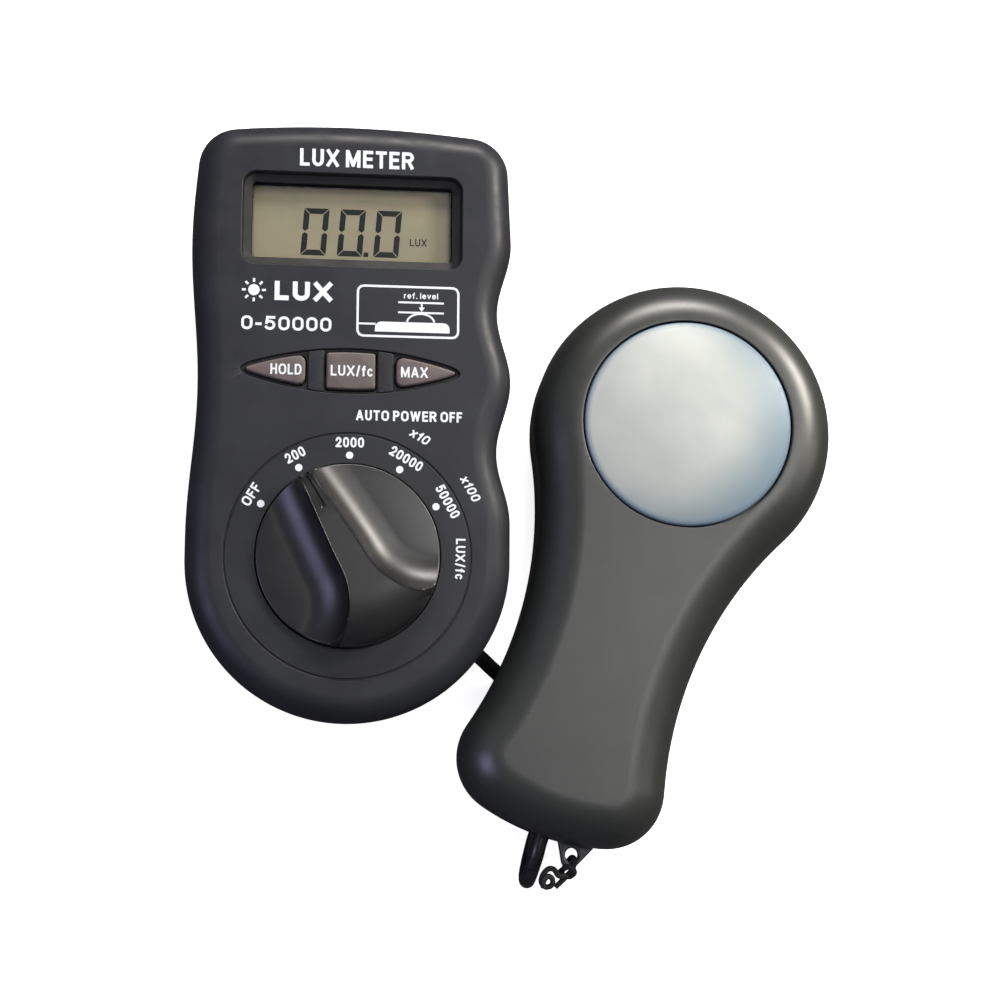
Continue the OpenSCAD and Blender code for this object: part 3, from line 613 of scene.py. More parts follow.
def battery_material():
    """A black jacket with a gold band, lightly scuffed."""
    s = Shader("battery_jacket")
    band_x = -0.012
    along = s.node("SeparateXYZ", s.coord).outputs["X"]
    gold = s.ramp(along, 0, 1, band_x, band_x + 0.0001)
    jacket = s.mix(gold, (0.02, 0.02, 0.022, 1), (0.5, 0.33, 0.08, 1))
    worn = s.mix(s.ramp(s.noise(4, 4), 0, 0.5), jacket, (0.12, 0.1, 0.06, 1))
    return s.done(worn, s.ramp(s.noise(2, 3), 0.25, 0.45), (s.noise(1.2, 3), 0.02, 0.3), Metallic=0.6)


def lcd_material():
    """Olive reflector behind liquid crystal, with a slow tint drift and a fine pixel-free grain."""
    s = Shader("lcd_glass")
    drift = s.ramp(s.noise(16, 1, 0.4), 0, 1, 0.3, 0.7)
    warm = s.mix(drift, lin(164, 155, 131), lin(153, 149, 127))
    pink = s.ramp(s.noise(9, 1, 0.4, (1, 1, 1)), 0, 0.5, 0.55, 0.75)
    return s.done(s.mix(pink, warm, lin(164, 148, 130)), s.ramp(s.noise(0.15, 2), 0.3, 0.45),
                    (s.noise(0.08, 2), 0.003, 0.5), Coat_Weight=0.4, Coat_Roughness=0.08)


def clear_material(name, tint, mirror=0.05):
    """Clear plate: it lets light straight through, with a faint gloss and a slight haze of wear."""
    s = Shader(name)
    s.put("Base Color", (0.002, 0.002, 0.002, 1))
    s.link(s.ramp(s.noise(6, 4, 0.6), 0.04, 0.10), "Roughness")
    s.bump(s.noise(20, 2), 0.01, 0.15)
    through = s.node("BsdfTransparent", Color=tint)
    both = s.node("MixShader", s.ramp(s.noise(3, 3, 0.6), mirror, mirror * 1.4), "Fac")
    s.links.new(through.outputs[0], both.inputs[1])
    s.links.new(s.bsdf.outputs[0], both.inputs[2])
    s.links.new(both.outputs[0], s.nodes["Material Output"].inputs["Surface"])
    return s.mat


def segment_material():
    s = Shader("lcd_segment")
    black = s.mix(s.ramp(s.noise(3), 0, 1), lin(16, 18, 24), lin(24, 26, 32))
    return s.done(black, s.ramp(s.noise(0.3), 0.35, 0.45))


def edge_highlight_material():
    """The display glass's cut edge, coloured light grey as a painted highlight of the light it catches."""
    s = Shader("lcd_edge_highlight")
    grey = s.mix(s.ramp(s.noise(4), 0, 1), lin(120, 118, 108), lin(170, 168, 158))
    return s.done(grey, s.ramp(s.noise(1), 0.25, 0.4))


def opal_material():
    """Opal acrylic, milky, with light and shade painted in: the milky tone held round a point left of the
    middle is painted light, the bluish grey towards the side turned from the cord is painted shade, and a
    darker bluish ring at the edge is painted shade.
    """
    s = Shader("opal_acrylic")
    # painted light: the milky tone is held round this point, and painted shade turns the rest bluish grey
    painted_light_centre = at_head([-9, 0, HEAD_H + 3])
    painted_shade_fac = s.ramp(s.distance(painted_light_centre), 0, 1, 0.016, 0.032, smooth=True)
    cloud = s.ramp(s.noise(9, 2, 0.5), 0, 1, 0.3, 0.7)
    milk = s.mix(cloud, lin(182, 187, 182), lin(172, 178, 175))
    body = s.mix(painted_shade_fac, milk, lin(118, 137, 148))
    # painted shade: a darker bluish ring round the dome's edge
    rim = s.ramp(s.distance(at_head([0, 0, HEAD_H])), 0, 1, 0.0221, 0.0236)
    values = {"Subsurface Weight": 0.25, "Subsurface Radius": (1.0, 1.0, 0.9),
              "Subsurface Scale": 0.0016, "Specular IOR Level": 0.4}
    return s.done(s.mix(rim, body, lin(96, 118, 138)), s.ramp(s.noise(0.8, 3), 0.34, 0.44),
                    (s.noise(0.12, 2), 0.004, 0.4), **values)


def fabric_material():
    """A fine black braid."""
    s = Shader("tether_braid")
    braid = s.node("TexWave", s.coord, Scale=900, Distortion=1.5).outputs["Fac"]
    s.link(s.mix(braid, (0.008, 0.008, 0.008, 1), (0.03, 0.03, 0.03, 1)), "Base Color")
    s.put("Roughness", 0.75)
    s.bump(braid, 0.12, 0.7)
    return s.mat


M["print"] = print_material()
M["board"] = board_material()
M["battery"] = battery_material()
M["lcd"] = lcd_material()
M["segment"] = segment_material()
M["edge"] = edge_highlight_material()
M["window"] = clear_material("window_acrylic", (0.96, 0.965, 0.955, 1))
M["filter"] = clear_material("filter_glass", (0.45, 0.8, 0.65, 1), 0.2)
M["opal"] = opal_material()
M["braid"] = fabric_material()


# ---------------------------------------------------------------- meter: front case
CASE = case_outline()
BORE_R, WELL_DEPTH = 12.05, 1.3


def dial_well(m):
    """A fine groove, the ring inside it, and the knob's well; returns the edge and the bore's end."""
    groove = [(27.05, 0), (26.93, -0.07), (26.8, -0.3), (26.62, -0.3), (26.5, -0.07), (26.38, 0)]
    well = [(20.4, 0), (20.2, -0.06), (20.08, -0.25), (20.05, -WELL_DEPTH)]
    edge, low = m.rings([(r, CASE_H + h) for r, h in groove + well])
    # the bore under the well takes the darker well material: painted shade
    m.slot = 2
    bore, bore_end = m.rings([(BORE_R, CASE_H - WELL_DEPTH), (BORE_R, CEILING)])
    m.bridge(low, bore)
    m.slot = 0
    return edge, bore_end


def display_recess(m):
    """The sill round the display; returns its edge in the face and the opening's lower end."""
    w, h, cy = VIEW
    recess = rounded_rect(0, cy, w + 5.4, h + 5.2, 3.2, 240)
    opening = rounded_rect(0, cy, w + 0.9, h + 0.9, 0.9, 240)
    edge, low = m.chain(recess, [(0, CASE_H), (0.12, CASE_H - 0.05), (0.3, CASE_H - 0.3)])
    # the sill and the opening's lip take the darker recess material: painted shade
    m.slot = 1
    sill = m.loop(inset(recess, 0.55), CASE_H - 1.6)
    lip, end = m.chain(opening, [(0, CASE_H - 2.1), (0.1, CASE_H - 2.3), (0.1, CEILING)])
    m.join([low, sill, lip])
    m.slot = 0
    return edge, end


def button_recess(m):
    """The pointed recess and its three holes; returns its edge in the face and the holes' ends."""
    panel = oval(PANEL[2], PANEL[0] + 3.4, PANEL[1] + 0.3, 260, 12)
    edge, low = m.chain(panel, [(0, CASE_H), (0.1, CASE_H - 0.06), (0.22, CASE_H - 0.3)])
    # the recess's wall, floor and the keys' holes take the darker well material: painted shade
    m.slot = 2
    floor_z = CASE_H - 0.9
    ledge = m.loop(inset(panel, 0.3), floor_z)
    m.bridge(low, ledge)
    holes = [m.chain(key_outline(k, 0.35, 120), [(0, floor_z), (0, CEILING)]) for k in (-1, 0, 1)]
    m.fill(ledge, [upper for upper, _ in holes])
    m.slot = 0
    return edge, [end for _, end in holes]


def front_case():
    m = Mesher()
    side = [(0.35, SPLIT), (0.12, SPLIT + 0.1), (0, SPLIT + 0.35), (0, 18), (0, CASE_H - FRONT_R)]
    first, rim = m.chain(CASE, side + quarter(FRONT_R, CASE_H, 18)[1:])
    dial, bore_end = dial_well(m)
    window, window_end = display_recess(m)
    panel, hole_ends = button_recess(m)
    m.fill(rim, [dial, window, panel])
    inner = [(WALL, SPLIT), (WALL, CASE_H - FRONT_R), (WALL + 1.1, CEILING - 1.2), (WALL + 2.6, CEILING)]
    low, ceiling = m.chain(CASE, inner)
    m.bridge(first, low)
    m.fill(ceiling, [bore_end, window_end, *hole_ends])
    ob = m.object("front_case_shell", [M["case"], M["recess"], M["well"]], angle=40)
    place(ob, "meter", "case_plastic", "front_case")


def rib(name, x0, x1):
    """A case-coloured bar between two buttons, cut to the panel's outline."""
    band = oval_band(np.linspace(x0, x1, 16), PANEL[0], PANEL[1] - 0.05)
    ob = prism(name, soften(band, 160, 0.8), CASE_H - 1.0, CASE_H - 0.25, M["case"], 0.2)
    place(ob, "meter", "case_plastic")


# ---------------------------------------------------------------- meter: rear case and door
def rear_solid(name):
    """The whole rear half, from which the rear case and its door are cut."""
    top = [(0, 8), (0, SPLIT - 0.45), (0.12, SPLIT - 0.2), (0.35, SPLIT - 0.1)]
    m = Mesher()
    m.solid(CASE, lower_quarter(BACK_R, 0, 12) + top)
    return m.object(name, M["case"])


def box_tool(x, y, z):
    """A box to cut with, or to join on, given by its two ends along each axis."""
    m = Mesher()
    corners = [(x[0], y[0]), (x[1], y[0]), (x[1], y[1]), (x[0], y[1])]
    for end in m.join([m.loop(corners, h) for h in z]):
        m.add(end)
    return m.object("cutter", M["case"], weighted=False)


def turned_tool(profile, mat="case", at=None, centre=(0, 0)):
    """A turned piece to cut with, or to join on: profile is (radius, z), closed at both ends."""
    closed = [(0, profile[0][1]), *profile, (0, profile[-1][1])]
    return revolve("cutter", closed, M[mat], 64, at, centre=centre)


def screw_posts(ob, spots, post, well, mat="case", at=None):
    """Adds a post at each spot inside a moulding, and sinks a screw's well into it from behind."""
    for spot in spots:
        boolean(ob, turned_tool(post, mat, at, spot), "UNION")
        boolean(ob, turned_tool(well, mat, at, spot))


EXIT_A = math.radians(-33)
MOUTH = np.array([LOW_X + HALF_W * math.cos(EXIT_A), LOW_Y + HALF_W * math.sin(EXIT_A), 7.0])
MOUTH_ROT = rot_z(math.radians(-40)) @ rot_y(math.radians(90 + 24))
CORD_OUT = MOUTH_ROT @ np.array([0, 0, 1.0])


def at_mouth(p):
    """Points in a frame with +Z along the cord, moved to the cord's exit from the meter."""
    return np.asarray(p, float) @ MOUTH_ROT.T + MOUTH


def rear_case():
    ob = rear_solid("rear_case_shell")
    cavity = Mesher()
    cavity.solid(CASE, [(BACK_R + 0.6, WALL), (WALL + 0.4, WALL + 1.6), (WALL, WALL + 3.5),
                        (WALL, SPLIT + 2)])
    boolean(ob, cavity.object("cutter", M["case"], weighted=False))
    screw_posts(ob, CASE_POSTS, [(3.1, 1), (3.1, 12.8)], [(3.15, -1), (3.15, 0), (2.8, 0.3), (2.8, 8)])
    # the door's opening, the grooves for its rails, and the way through to the battery
    boolean(ob, box_tool((-27.6, 27.6), (-50, 12.1), (-1, 2.15)))
    boolean(ob, box_tool((-28.85, 28.85), (-50, 10.6), (0.9, 2.15)))
    boolean(ob, box_tool((-27.6, 27.6), (-19.9, 8.3), (1, 5)))
    boolean(ob, turned_tool([(2.75, -6), (2.75, 0.2), (3.4, 1.2), (3.4, 5)], at=at_mouth))
    place(ob, "meter", "case_plastic", "rear_case")


def battery_door():
    ob = rear_solid("battery_door_panel")
    boolean(ob, box_tool((-27.45, 27.45), (-50, 11.95), (-1, 2.0)), "INTERSECT")
    for i in range(5):
        y, w = -27 + 2.2 * i, 9 - 0.9 * i
        boolean(ob, box_tool((-w, w), (y - 0.45, y + 0.45), (-1, 0.5)))
    for rail in ((-28.6, -27.2), (27.2, 28.6)):
        boolean(ob, box_tool(rail, (-12, 10.3), (1, 1.9)), "UNION")
    bevel = ob.modifiers.new("edge", "BEVEL")
    bevel.width = 0.18 * MM
    bevel.segments = 2
    bevel.limit_method = "ANGLE"
    bevel.angle_limit = math.radians(50)
    place(ob, "battery_door", "door_plastic", "battery_door")


# ---------------------------------------------------------------- meter: display
LCD_Z = 25.62


def flat_piece(name, shapes, z, thick, mat, body="meter", slot="case_plastic"):
    """Thin raised shapes, such as print, joined into one clean slab.

    A shape is one outline, or a pair of outlines for a ring.
    """
    groups = [[np.asarray(p, float) for p in (sh if isinstance(sh, tuple) else (sh,))] for sh in shapes]
    co, edges = [], []
    for ring in (r for group in groups for r in group):
        k, n = len(co), len(ring)
        co += [Vector(p) for p in ring]
        edges += [(k + i, k + (i + 1) % n) for i in range(n)]
    out, _, tris, _, _, _ = delaunay_2d_cdt(co, edges, [], 0, 1e-5, False)
    pts = np.array([p[:] for p in out])
    mid = pts[np.array(tris)].mean(axis=1)
    ink = np.any([inside(mid, *group) for group in groups], axis=0)
    tris = [t for t, k in zip(tris, ink) if k]
    m = Mesher()
    top, low = m.loop(pts, z + thick), m.loop(pts, z)
    sides = {(t[i], t[(i + 1) % 3]) for t in tris for i in range(3)}
    for t in tris:
        m.add([top[i] for i in t])
        m.add([low[i] for i in reversed(t)])
    for i, j in sides:
        if (j, i) not in sides:
            m.add((top[j], top[i], low[i], low[j]))
    ob = m.object(name, M[mat], weighted=False, angle=30)
    bm = bmesh.new()
    bm.from_mesh(ob.data)
    bmesh.ops.delete(bm, geom=[v for v in bm.verts if not v.link_faces], context="VERTS")
    bm.to_mesh(ob.data)
    bm.free()
    return place(ob, body, slot)


def digit_zero(x, y, h, w, t, slant):
    """The six lit bars of a seven-segment nought, with mitred ends and fine gaps."""
    g = 0.14
    m = h / 2
    top = [(g, h), (w - g, h), (w - t, h - t + g), (t, h - t + g)]
    bottom = [(g, 0), (t, t - g), (w - t, t - g), (w - g, 0)]
    lower = [(0, g), (t - g, t), (t - g, m - g - 0.35 * t), (t * 0.5 - g, m - g), (0, m - g - 0.35 * t)]
    upper = [(0, h - g), (0, m + g + 0.35 * t), (t * 0.5 - g, m + g), (t - g, m + g + 0.35 * t),
             (t - g, h - t)]
    bars = [top, bottom, lower, upper]
    bars += [[(w - px, py) for px, py in bar] for bar in (lower, upper)]
    return [[(x + px + slant * py, y + py) for px, py in bar] for bar in bars]


def display():
    w, h, cy = VIEW
    pane = rounded_rect(0, cy, 48.2, 21.4, 0.4, 160)
    body = prism("lcd_body", pane, 23.4, LCD_Z - 0.12, M["frame"], 0.12)
    place(body, "meter", "lcd_glass", "lcd_panel")
    sheet = rounded_rect(0, cy, w + 0.1, h, 0.25, 160)
    glass = prism("lcd_reflector", sheet, LCD_Z - 0.13, LCD_Z, M["lcd"], 0.05)
    place(glass, "meter", "lcd_glass")

    left, low = -w / 2, cy - h / 2
    first_x, pitch, base = left + 10.3, 8.1, low + 0.95
    bars = []
    for i in range(3):
        bars += digit_zero(first_x + pitch * i, base, 10.7, 5.6, 1.4, 0.075)
    x = first_x + pitch * 2 - 2.15          # the point stands before the last digit
    bars.append([(x, base), (x + 1.05, base), (x + 1.12, base + 1), (x + 0.07, base + 1)])
    flat_piece("lcd_segments", bars, LCD_Z - 0.01, 0.04, "segment", slot="lcd_glass")
    lettering("lcd_unit", "LUX", left + 36.6, low + 4.6, 1.7, 3.8, LCD_Z, weight=0.15, mat="segment",
              slot="lcd_glass")
    # a light grey strip round the display glass: a painted highlight along its cut edge
    edge = rounded_rect(0, cy, w + 0.55, h + 0.45, 0.35, 160)
    inner = rounded_rect(0, cy, w + 0.2, h + 0.1, 0.3, 160)[::-1]
    flat_piece("lcd_edge_highlight", [(edge, inner)], LCD_Z - 0.12, 0.12, "edge", slot="lcd_glass")


# ---------------------------------------------------------------- lettering and print
def stroke(pts, width, closed=False, cap=0.0):
    """An outline that follows a line with a given width; cap lengthens both of its ends."""
    p = np.array(pts, float)
    if not closed and cap:
        a, b = p[0] - p[1], p[-1] - p[-2]
        p[0] += a / np.linalg.norm(a) * cap
        p[-1] += b / np.linalg.norm(b) * cap
    d = np.roll(p, -1, 0) - p
    d /= np.linalg.norm(d, axis=1)[:, None]
    before = np.roll(d, 1, 0)
    if not closed:
        before[0], d[-1] = d[0], d[-2]
        before[-1] = d[-1]
    n0 = np.stack([-before[:, 1], before[:, 0]], axis=1)
    n1 = np.stack([-d[:, 1], d[:, 0]], axis=1)
    m = n0 + n1
    m /= np.linalg.norm(m, axis=1)[:, None]
    m *= (width / 2 / np.maximum(0.5, (m * n0).sum(axis=1)))[:, None]
    if closed:
        a, b = p - m, p + m
        return (a, b) if shoelace(a) > shoelace(b) else (b, a)
    return np.vstack([p - m, (p + m)[::-1]])


def shoelace(p):
    q = np.roll(p, -1, 0)
    return abs((p[:, 0] * q[:, 1] - p[:, 1] * q[:, 0]).sum())


def bow(cx, cy, rx, ry, a0, a1, n=14):
    """Points of an elliptical arc, for the bends of letters."""
    t = np.radians(np.linspace(a0, a1, n + 1))
    return [(cx + rx * math.cos(a), cy + ry * math.sin(a)) for a in t]


BOWL = [(0, 1), (0.5, 1)] + bow(0.56, 0.745, 0.44, 0.255, 90, -90) + [(0.5, 0.49), (0, 0.49)]
ROUND = bow(0.5, 0.68, 0.5, 0.32, 0, 180, 20) + bow(0.5, 0.32, 0.5, 0.32, 180, 360, 20)
# a plain sans alphabet: each sign is its width and its strokes in a unit box; a ring closes on itself
SIGNS = {
    "L": (0.5, [[(0, 1), (0, 0)], [(0, 0), (1, 0)]]),
    "U": (0.6, [[(0, 1), (0, 0.36)] + bow(0.5, 0.32, 0.5, 0.32, 180, 360) + [(1, 0.36), (1, 1)]]),
    "X": (0.66, [[(0.02, 0), (0.98, 1)], [(0.02, 1), (0.98, 0)]]),
    "M": (0.76, [[(0, 0), (0, 1)], [(1, 0), (1, 1)], [(0.06, 0.96), (0.5, 0.06)],
                 [(0.94, 0.96), (0.5, 0.06)]]),
    "E": (0.53, [[(0, 0), (0, 1)], [(0, 1), (1, 1)], [(0, 0), (1, 0)], [(0, 0.52), (0.9, 0.52)]]),
    "T": (0.58, [[(0, 1), (1, 1)], [(0.5, 1), (0.5, 0)]]),
    "R": (0.62, [[(0, 0), (0, 1)], BOWL, [(0.55, 0.49), (0.97, 0.02)]]),
    "A": (0.68, [[(0.03, 0), (0.47, 0.98)], [(0.97, 0), (0.53, 0.98)], [(0.22, 0.28), (0.78, 0.28)]]),
    "O": (0.68, [ROUND]),
    "P": (0.58, [[(0, 0), (0, 1)], BOWL]),
    "W": (0.94, [[(0.02, 1), (0.25, 0.03)], [(0.25, 0.03), (0.5, 0.95)], [(0.5, 0.95), (0.75, 0.03)],
                 [(0.75, 0.03), (0.98, 1)]]),
    "F": (0.5, [[(0, 0), (0, 1)], [(0, 1), (1, 1)], [(0, 0.51), (0.85, 0.51)]]),
    "H": (0.6, [[(0, 0), (0, 1)], [(1, 0), (1, 1)], [(0, 0.52), (1, 0.52)]]),
    "D": (0.62, [[(0, 0), (0, 1), (0.4, 1)] + bow(0.5, 0.5, 0.5, 0.5, 85, -85, 22) + [(0.4, 0)]]),
    "0": (0.56, [ROUND]),
    "1": (0.34, [[(0.85, 0), (0.85, 1)], [(0.8, 0.93), (0.05, 0.7)]]),
    "2": (0.56, [bow(0.5, 0.7, 0.48, 0.3, 172, -28) + [(0.78, 0.42), (0.06, 0.03)], [(0, 0), (1, 0)]]),
    "5": (0.56, [[(0.2, 1), (0.95, 1)], [(0.2, 1), (0.1, 0.52)], bow(0.47, 0.33, 0.5, 0.33, 120, -145)]),
    "-": (0.32, [[(0, 0.4), (1, 0.4)]]),
    "/": (0.34, [[(0, -0.04), (1, 1.04)]]),
    ".": (0.16, [[(0.3, 0), (0.7, 0)]]),
    "x": (0.5, [[(0, 0), (1, 0.68)], [(0, 0.68), (1, 0)]]),
    "f": (0.34, [[(0.45, 0), (0.45, 0.75)] + bow(0.95, 0.78, 0.5, 0.22, 175, 95, 8),
                 [(0, 0.68), (0.95, 0.68)]]),
    "c": (0.48, [bow(0.5, 0.34, 0.5, 0.36, 45, 315, 18)]),
    "r": (0.32, [[(0.1, 0), (0.1, 0.68)], bow(0.9, 0.3, 0.75, 0.38, 150, 92, 8)]),
    "e": (0.48, [bow(0.5, 0.34, 0.5, 0.36, 5, 318, 20), [(0.1, 0.36), (0.9, 0.36)]]),
    "l": (0.14, [[(0.5, 0), (0.5, 1)]]),
    "v": (0.48, [[(0.03, 0.68), (0.48, 0.02)], [(0.52, 0.02), (0.97, 0.68)]]),
}
RINGS = "O0D"


def lettering(name, text, x, y, cap, width, z=CASE_H, body="meter", turn=0.0, weight=0.19, mat="print",
              slot="case_plastic", slant=0.0):
    """One centred line of the plain alphabet: cap is its height and width its full length."""
    w = weight * cap                        # width of a stroke
    gap, space = 0.13 * cap, 0.22 * cap     # between letters, and for a word space
    total = sum(SIGNS[c][0] * cap + gap if c != " " else space for c in text) - gap
    stretch = width / total
    at = -width / 2
    c, s = math.cos(turn), math.sin(turn)
    shapes = []
    for ch in text:
        if ch == " ":
            at += space * stretch
            continue
        wide, strokes = SIGNS[ch]
        wide *= cap * stretch
        for line in strokes:
            p = np.array(line, float) * (wide - w, cap - w) + (at + w / 2, (w - cap) / 2)
            p[:, 0] += slant * p[:, 1]
            closed = ch in RINGS
            if closed:
                p = p[np.linalg.norm(p - np.roll(p, 1, 0), axis=1) > 1e-6]
            shape = stroke(p, w, closed, cap=w * 0.48)
            turned = [q @ np.array([[c, s], [-s, c]]) + (x, y) for q in (shape if closed else (shape,))]
            shapes.append(tuple(turned) if closed else turned[0])
        at += wide + gap * stretch
    return flat_piece(name, shapes, z - 0.01, 0.04, mat, body, slot)


def on_dial(name, text, angle, r, cap, width, slant=0.0):
    """A line of print on the dial, its foot towards the knob's axis."""
    t = math.radians(angle)
    lettering(name, text, r * math.sin(t), r * math.cos(t), cap, width, turn=-t, slant=slant)


def mark(name, shapes):
    """Printed shapes on the meter's face."""
    flat_piece(name, shapes, CASE_H - 0.01, 0.035, "print")


def face_print():
    lettering("title_lettering", "LUX METER", 0.7, 88.3, 3.95, 25.2)
    lettering("auto_off_lettering", "AUTO POWER OFF", 12.9, 30.8, 2.3, 23.3, weight=0.2)
    for name, text, angle, width in (("off", "OFF", -58.5, 5.1), ("range_200", "200", -28.5, 4.5),
                                     ("range_2000", "2000", 0, 6.2), ("range_20000", "20000", 30, 7.8),
                                     ("range_50000", "50000", 60.5, 7.8)):
        on_dial("dial_" + name, text, angle, 24.75, 2.25, width)
    on_dial("dial_times_10", "x10", 30.3, 30.5, 2.1, 4.4, slant=0.18)
    on_dial("dial_times_100", "x100", 60.5, 30.5, 2.1, 5.9, slant=0.18)
    on_dial("dial_units", "LUX/fc", 91, 24.4, 2.1, 8.9)
    spots = [math.radians(a) for a in (-60, -30, 0, 30, 60)]
    mark("dial_dots", [circle(21.9 * math.sin(t), 21.9 * math.cos(t), 0.8, 28) for t in spots])

    # a plain sun, the unit and the measuring span
    x, y = -21.4, 58.0
    rays = [math.pi / 4 * k for k in range(8)]
    mark("sun_mark", [circle(x, y, 1.25, 32)]
         + [stroke([(x + r * math.cos(t), y + r * math.sin(t)) for r in (1.75, 2.6)], 0.5) for t in rays])
    lettering("units_lettering", "LUX", -10.6, 58.0, 4.3, 12.6, weight=0.25)
    lettering("span_lettering", "0-50000", -14.2, 50.7, 3.1, 19.6)

    # level pictogram: a boxed side view of the sensor with its dome, and an arrow to its level
    shell = [(5.1, 49.5), (21.6, 49.5)] + bow(20.2, 50.4, 1.4, 1.35, 0, 90, 8)
    shell += [(6.4, 51.75), (5.7, 51.5), (5.2, 50.8)]
    arrow_head = [(14.7, 55.15), (15.4, 54.2), (16.1, 55.15)]
    lines = [[(10.2, 56.2), (20.3, 56.2)], [(10.2, 53.95), (20.3, 53.95)],
             bow(15.2, 51.7, 3.0, 2.0, 5, 175, 26), [(1.5, 51.2), (5.3, 51.2)]]
    mark("level_pictogram", [stroke(rounded_rect(12.4, 54.1, 22.2, 11.2, 1.3, 120), 0.5, True),
                             stroke([(15.4, 56.0), (15.4, 55.0)], 0.38), arrow_head, shell]
         + [stroke(line, 0.42) for line in lines])
    lettering("level_lettering", "ref. level", 15.2, 57.75, 1.35, 7.6, weight=0.17)


# ---------------------------------------------------------------- meter: buttons
def button(which, body, node, text, x, width):
    """One key: -1 is the left one, 0 the middle one, 1 the right one."""
    top = [(0, 0.05), (0.08, 0.28), (0.25, 0.43), (0.5, 0.5)]
    m = Mesher()
    m.solid(key_outline(which, 0, 200), [(0, 26.2)] + [(d, CASE_H + h) for d, h in top])
    cap = m.object(node + "_cap", M["key"], angle=50)
    flange = prism(node + "_flange", key_outline(which, 1.1, 160), 25.7, 26.6, M["key"], 0.15)
    stem = revolve(node + "_stem", [(0, 24.5), (1.4, 24.5), (1.5, 24.6), (1.5, 26), (0, 26)], M["key"], 40,
                   centre=(15.6 * which, PANEL[2]))
    place(cap, body, "key_plastic", node)
    place(flange, body, "key_plastic")
    place(stem, body, "key_plastic")
    lettering(node + "_lettering", text, x, PANEL[2], 2.35, width, CASE_H + 0.51, body, weight=0.17,
              slot="key_plastic")


# ---------------------------------------------------------------- meter: range knob
RIM_R = KNOB_R - 0.2
COVE_H = KNOB_TOP - KNOB_FLOOR
COVE_W = 1.25 * COVE_H                  # how far the cove's curve reaches over the floor
EDGE_STEP = 0.22                        # size of the step between the bar's top and its cove


def knob_z(x, y):
    """Height of the knob's crown: flat in the middle, and falling to its rim on an ellipse."""
    low, fall = KNOB_FLOOR + 1.8, 11
    t = min(1, max(0, math.hypot(x, y) - KNOB_R + fall) / fall)
    return low + (KNOB_TOP - low) * math.sqrt(max(0, 1 - t * t))


def lean(y):
    """How far the bar's edge stands in at y, as the bar narrows towards its pointer."""
    return BAR_TAPER * max(0, (y - SCOOP_Y) / (RIM_R - SCOOP_Y)) ** 1.25


def crest(y):
    """Half width of the bar at y, which is endless past the scoops."""
    dy = SCOOP_Y - y
    if dy <= 0:
        return BAR_HALF - lean(y)
    return BAR_HALF + SCOOP_R - math.sqrt(SCOOP_R ** 2 - dy ** 2) if dy < SCOOP_R else 99


def knob_row(y):
    """Points across the top of the bar at y, with the groove of the pointer near its end."""
    cols = [0, 0.08, 0.16, 0.19, 0.25, 0.4, 0.6, 0.8, 1]
    w = min(crest(y) - EDGE_STEP, math.sqrt(max(0, RIM_R ** 2 - y * y)))
    inner = 0.75 * min(1, w / 0.8)
    depth = 0.5 * min(1, max(0, (y - 11.2) / 0.4))
    row = []
    for u in [-c for c in cols[:0:-1]] + cols:
        x = u * 4 * inner
        if abs(u) > 0.25:
            x = math.copysign(inner + (w - inner) * (abs(u) - 0.25) / 0.75, u)
        across = min(1, max(0, (0.52 - abs(x)) / 0.09))
        row.append((x, y, knob_z(x, y) - depth * across))
    return row


def knob_line(side, d, drop):
    """Points along a side of the bar, d out from its edge, from the rim round the scoop to the rim.

    They lie drop under the crown, or on the cove's curve if drop is None.
    """
    top = RIM_R
    for _ in range(5):
        top = math.sqrt(max(0, RIM_R ** 2 - (BAR_HALF + d - lean(top)) ** 2))
    # the lower of the two places where the scoop's offset arc meets the rim
    r = SCOOP_R - d
    cx, cy = BAR_HALF + SCOOP_R, SCOOP_Y
    dist = math.hypot(cx, cy)
    a = (RIM_R ** 2 - r ** 2 + dist ** 2) / (2 * dist)
    h = math.sqrt(max(0, RIM_R ** 2 - a * a))
    low = min([((a * cx + s * h * cy) / dist, (a * cy - s * h * cx) / dist) for s in (-1, 1)],
              key=lambda p: p[1])
    end = math.atan2(low[1] - cy, low[0] - cx)
    if end > 0:
        end -= 2 * math.pi
    path = [(BAR_HALF + d - lean(y), y) for y in (top + (SCOOP_Y - top) * i / 60 for i in range(60))]
    path += [(cx + r * math.cos(t), cy + r * math.sin(t)) for t in np.linspace(-math.pi, end, 61)]
    pts = []
    for x, y in path:
        z = knob_z(x, y) - (EDGE_STEP if drop is None else drop)
        if drop is None:
            z = min(z, KNOB_TOP - COVE_H * math.sqrt(max(0, 1 - (1 - d / COVE_W) ** 2)))
        pts.append((side * x, y, max(z, KNOB_FLOOR)))
    return pts


def knob_side(m, side):
    """One side of the bar: a small step at its edge, the cove, and the flat floor out to the rim."""
    turns = np.linspace(math.pi / 2, 0, 6)
    lines = [(-EDGE_STEP * math.cos(t), EDGE_STEP * (1 - math.sin(t))) for t in turns]
    turns = np.linspace(math.acos(0.99), math.pi / 2, 40)
    lines += [(COVE_W * (1 - math.cos(t)), None) for t in turns]
    last = m.join([m.loop(knob_line(side, d, drop)) for d, drop in lines], closed=False)[1]
    a0, a1 = (math.atan2(m.v[i][1], m.v[i][0] * side) for i in (last[0], last[-1]))
    around = np.linspace(a1, a0, 90)[1:-1]
    m.fill(last + m.loop([(side * RIM_R * math.cos(t), RIM_R * math.sin(t), KNOB_FLOOR) for t in around]))


def extrude(bm, edges):
    """Extrudes edges in place; returns the new edges and their points."""
    out = bmesh.ops.extrude_edge_only(bm, edges=edges)["geom"]
    new = [g for g in out if isinstance(g, bmesh.types.BMEdge)]
    return new, {v for e in new for v in e.verts}


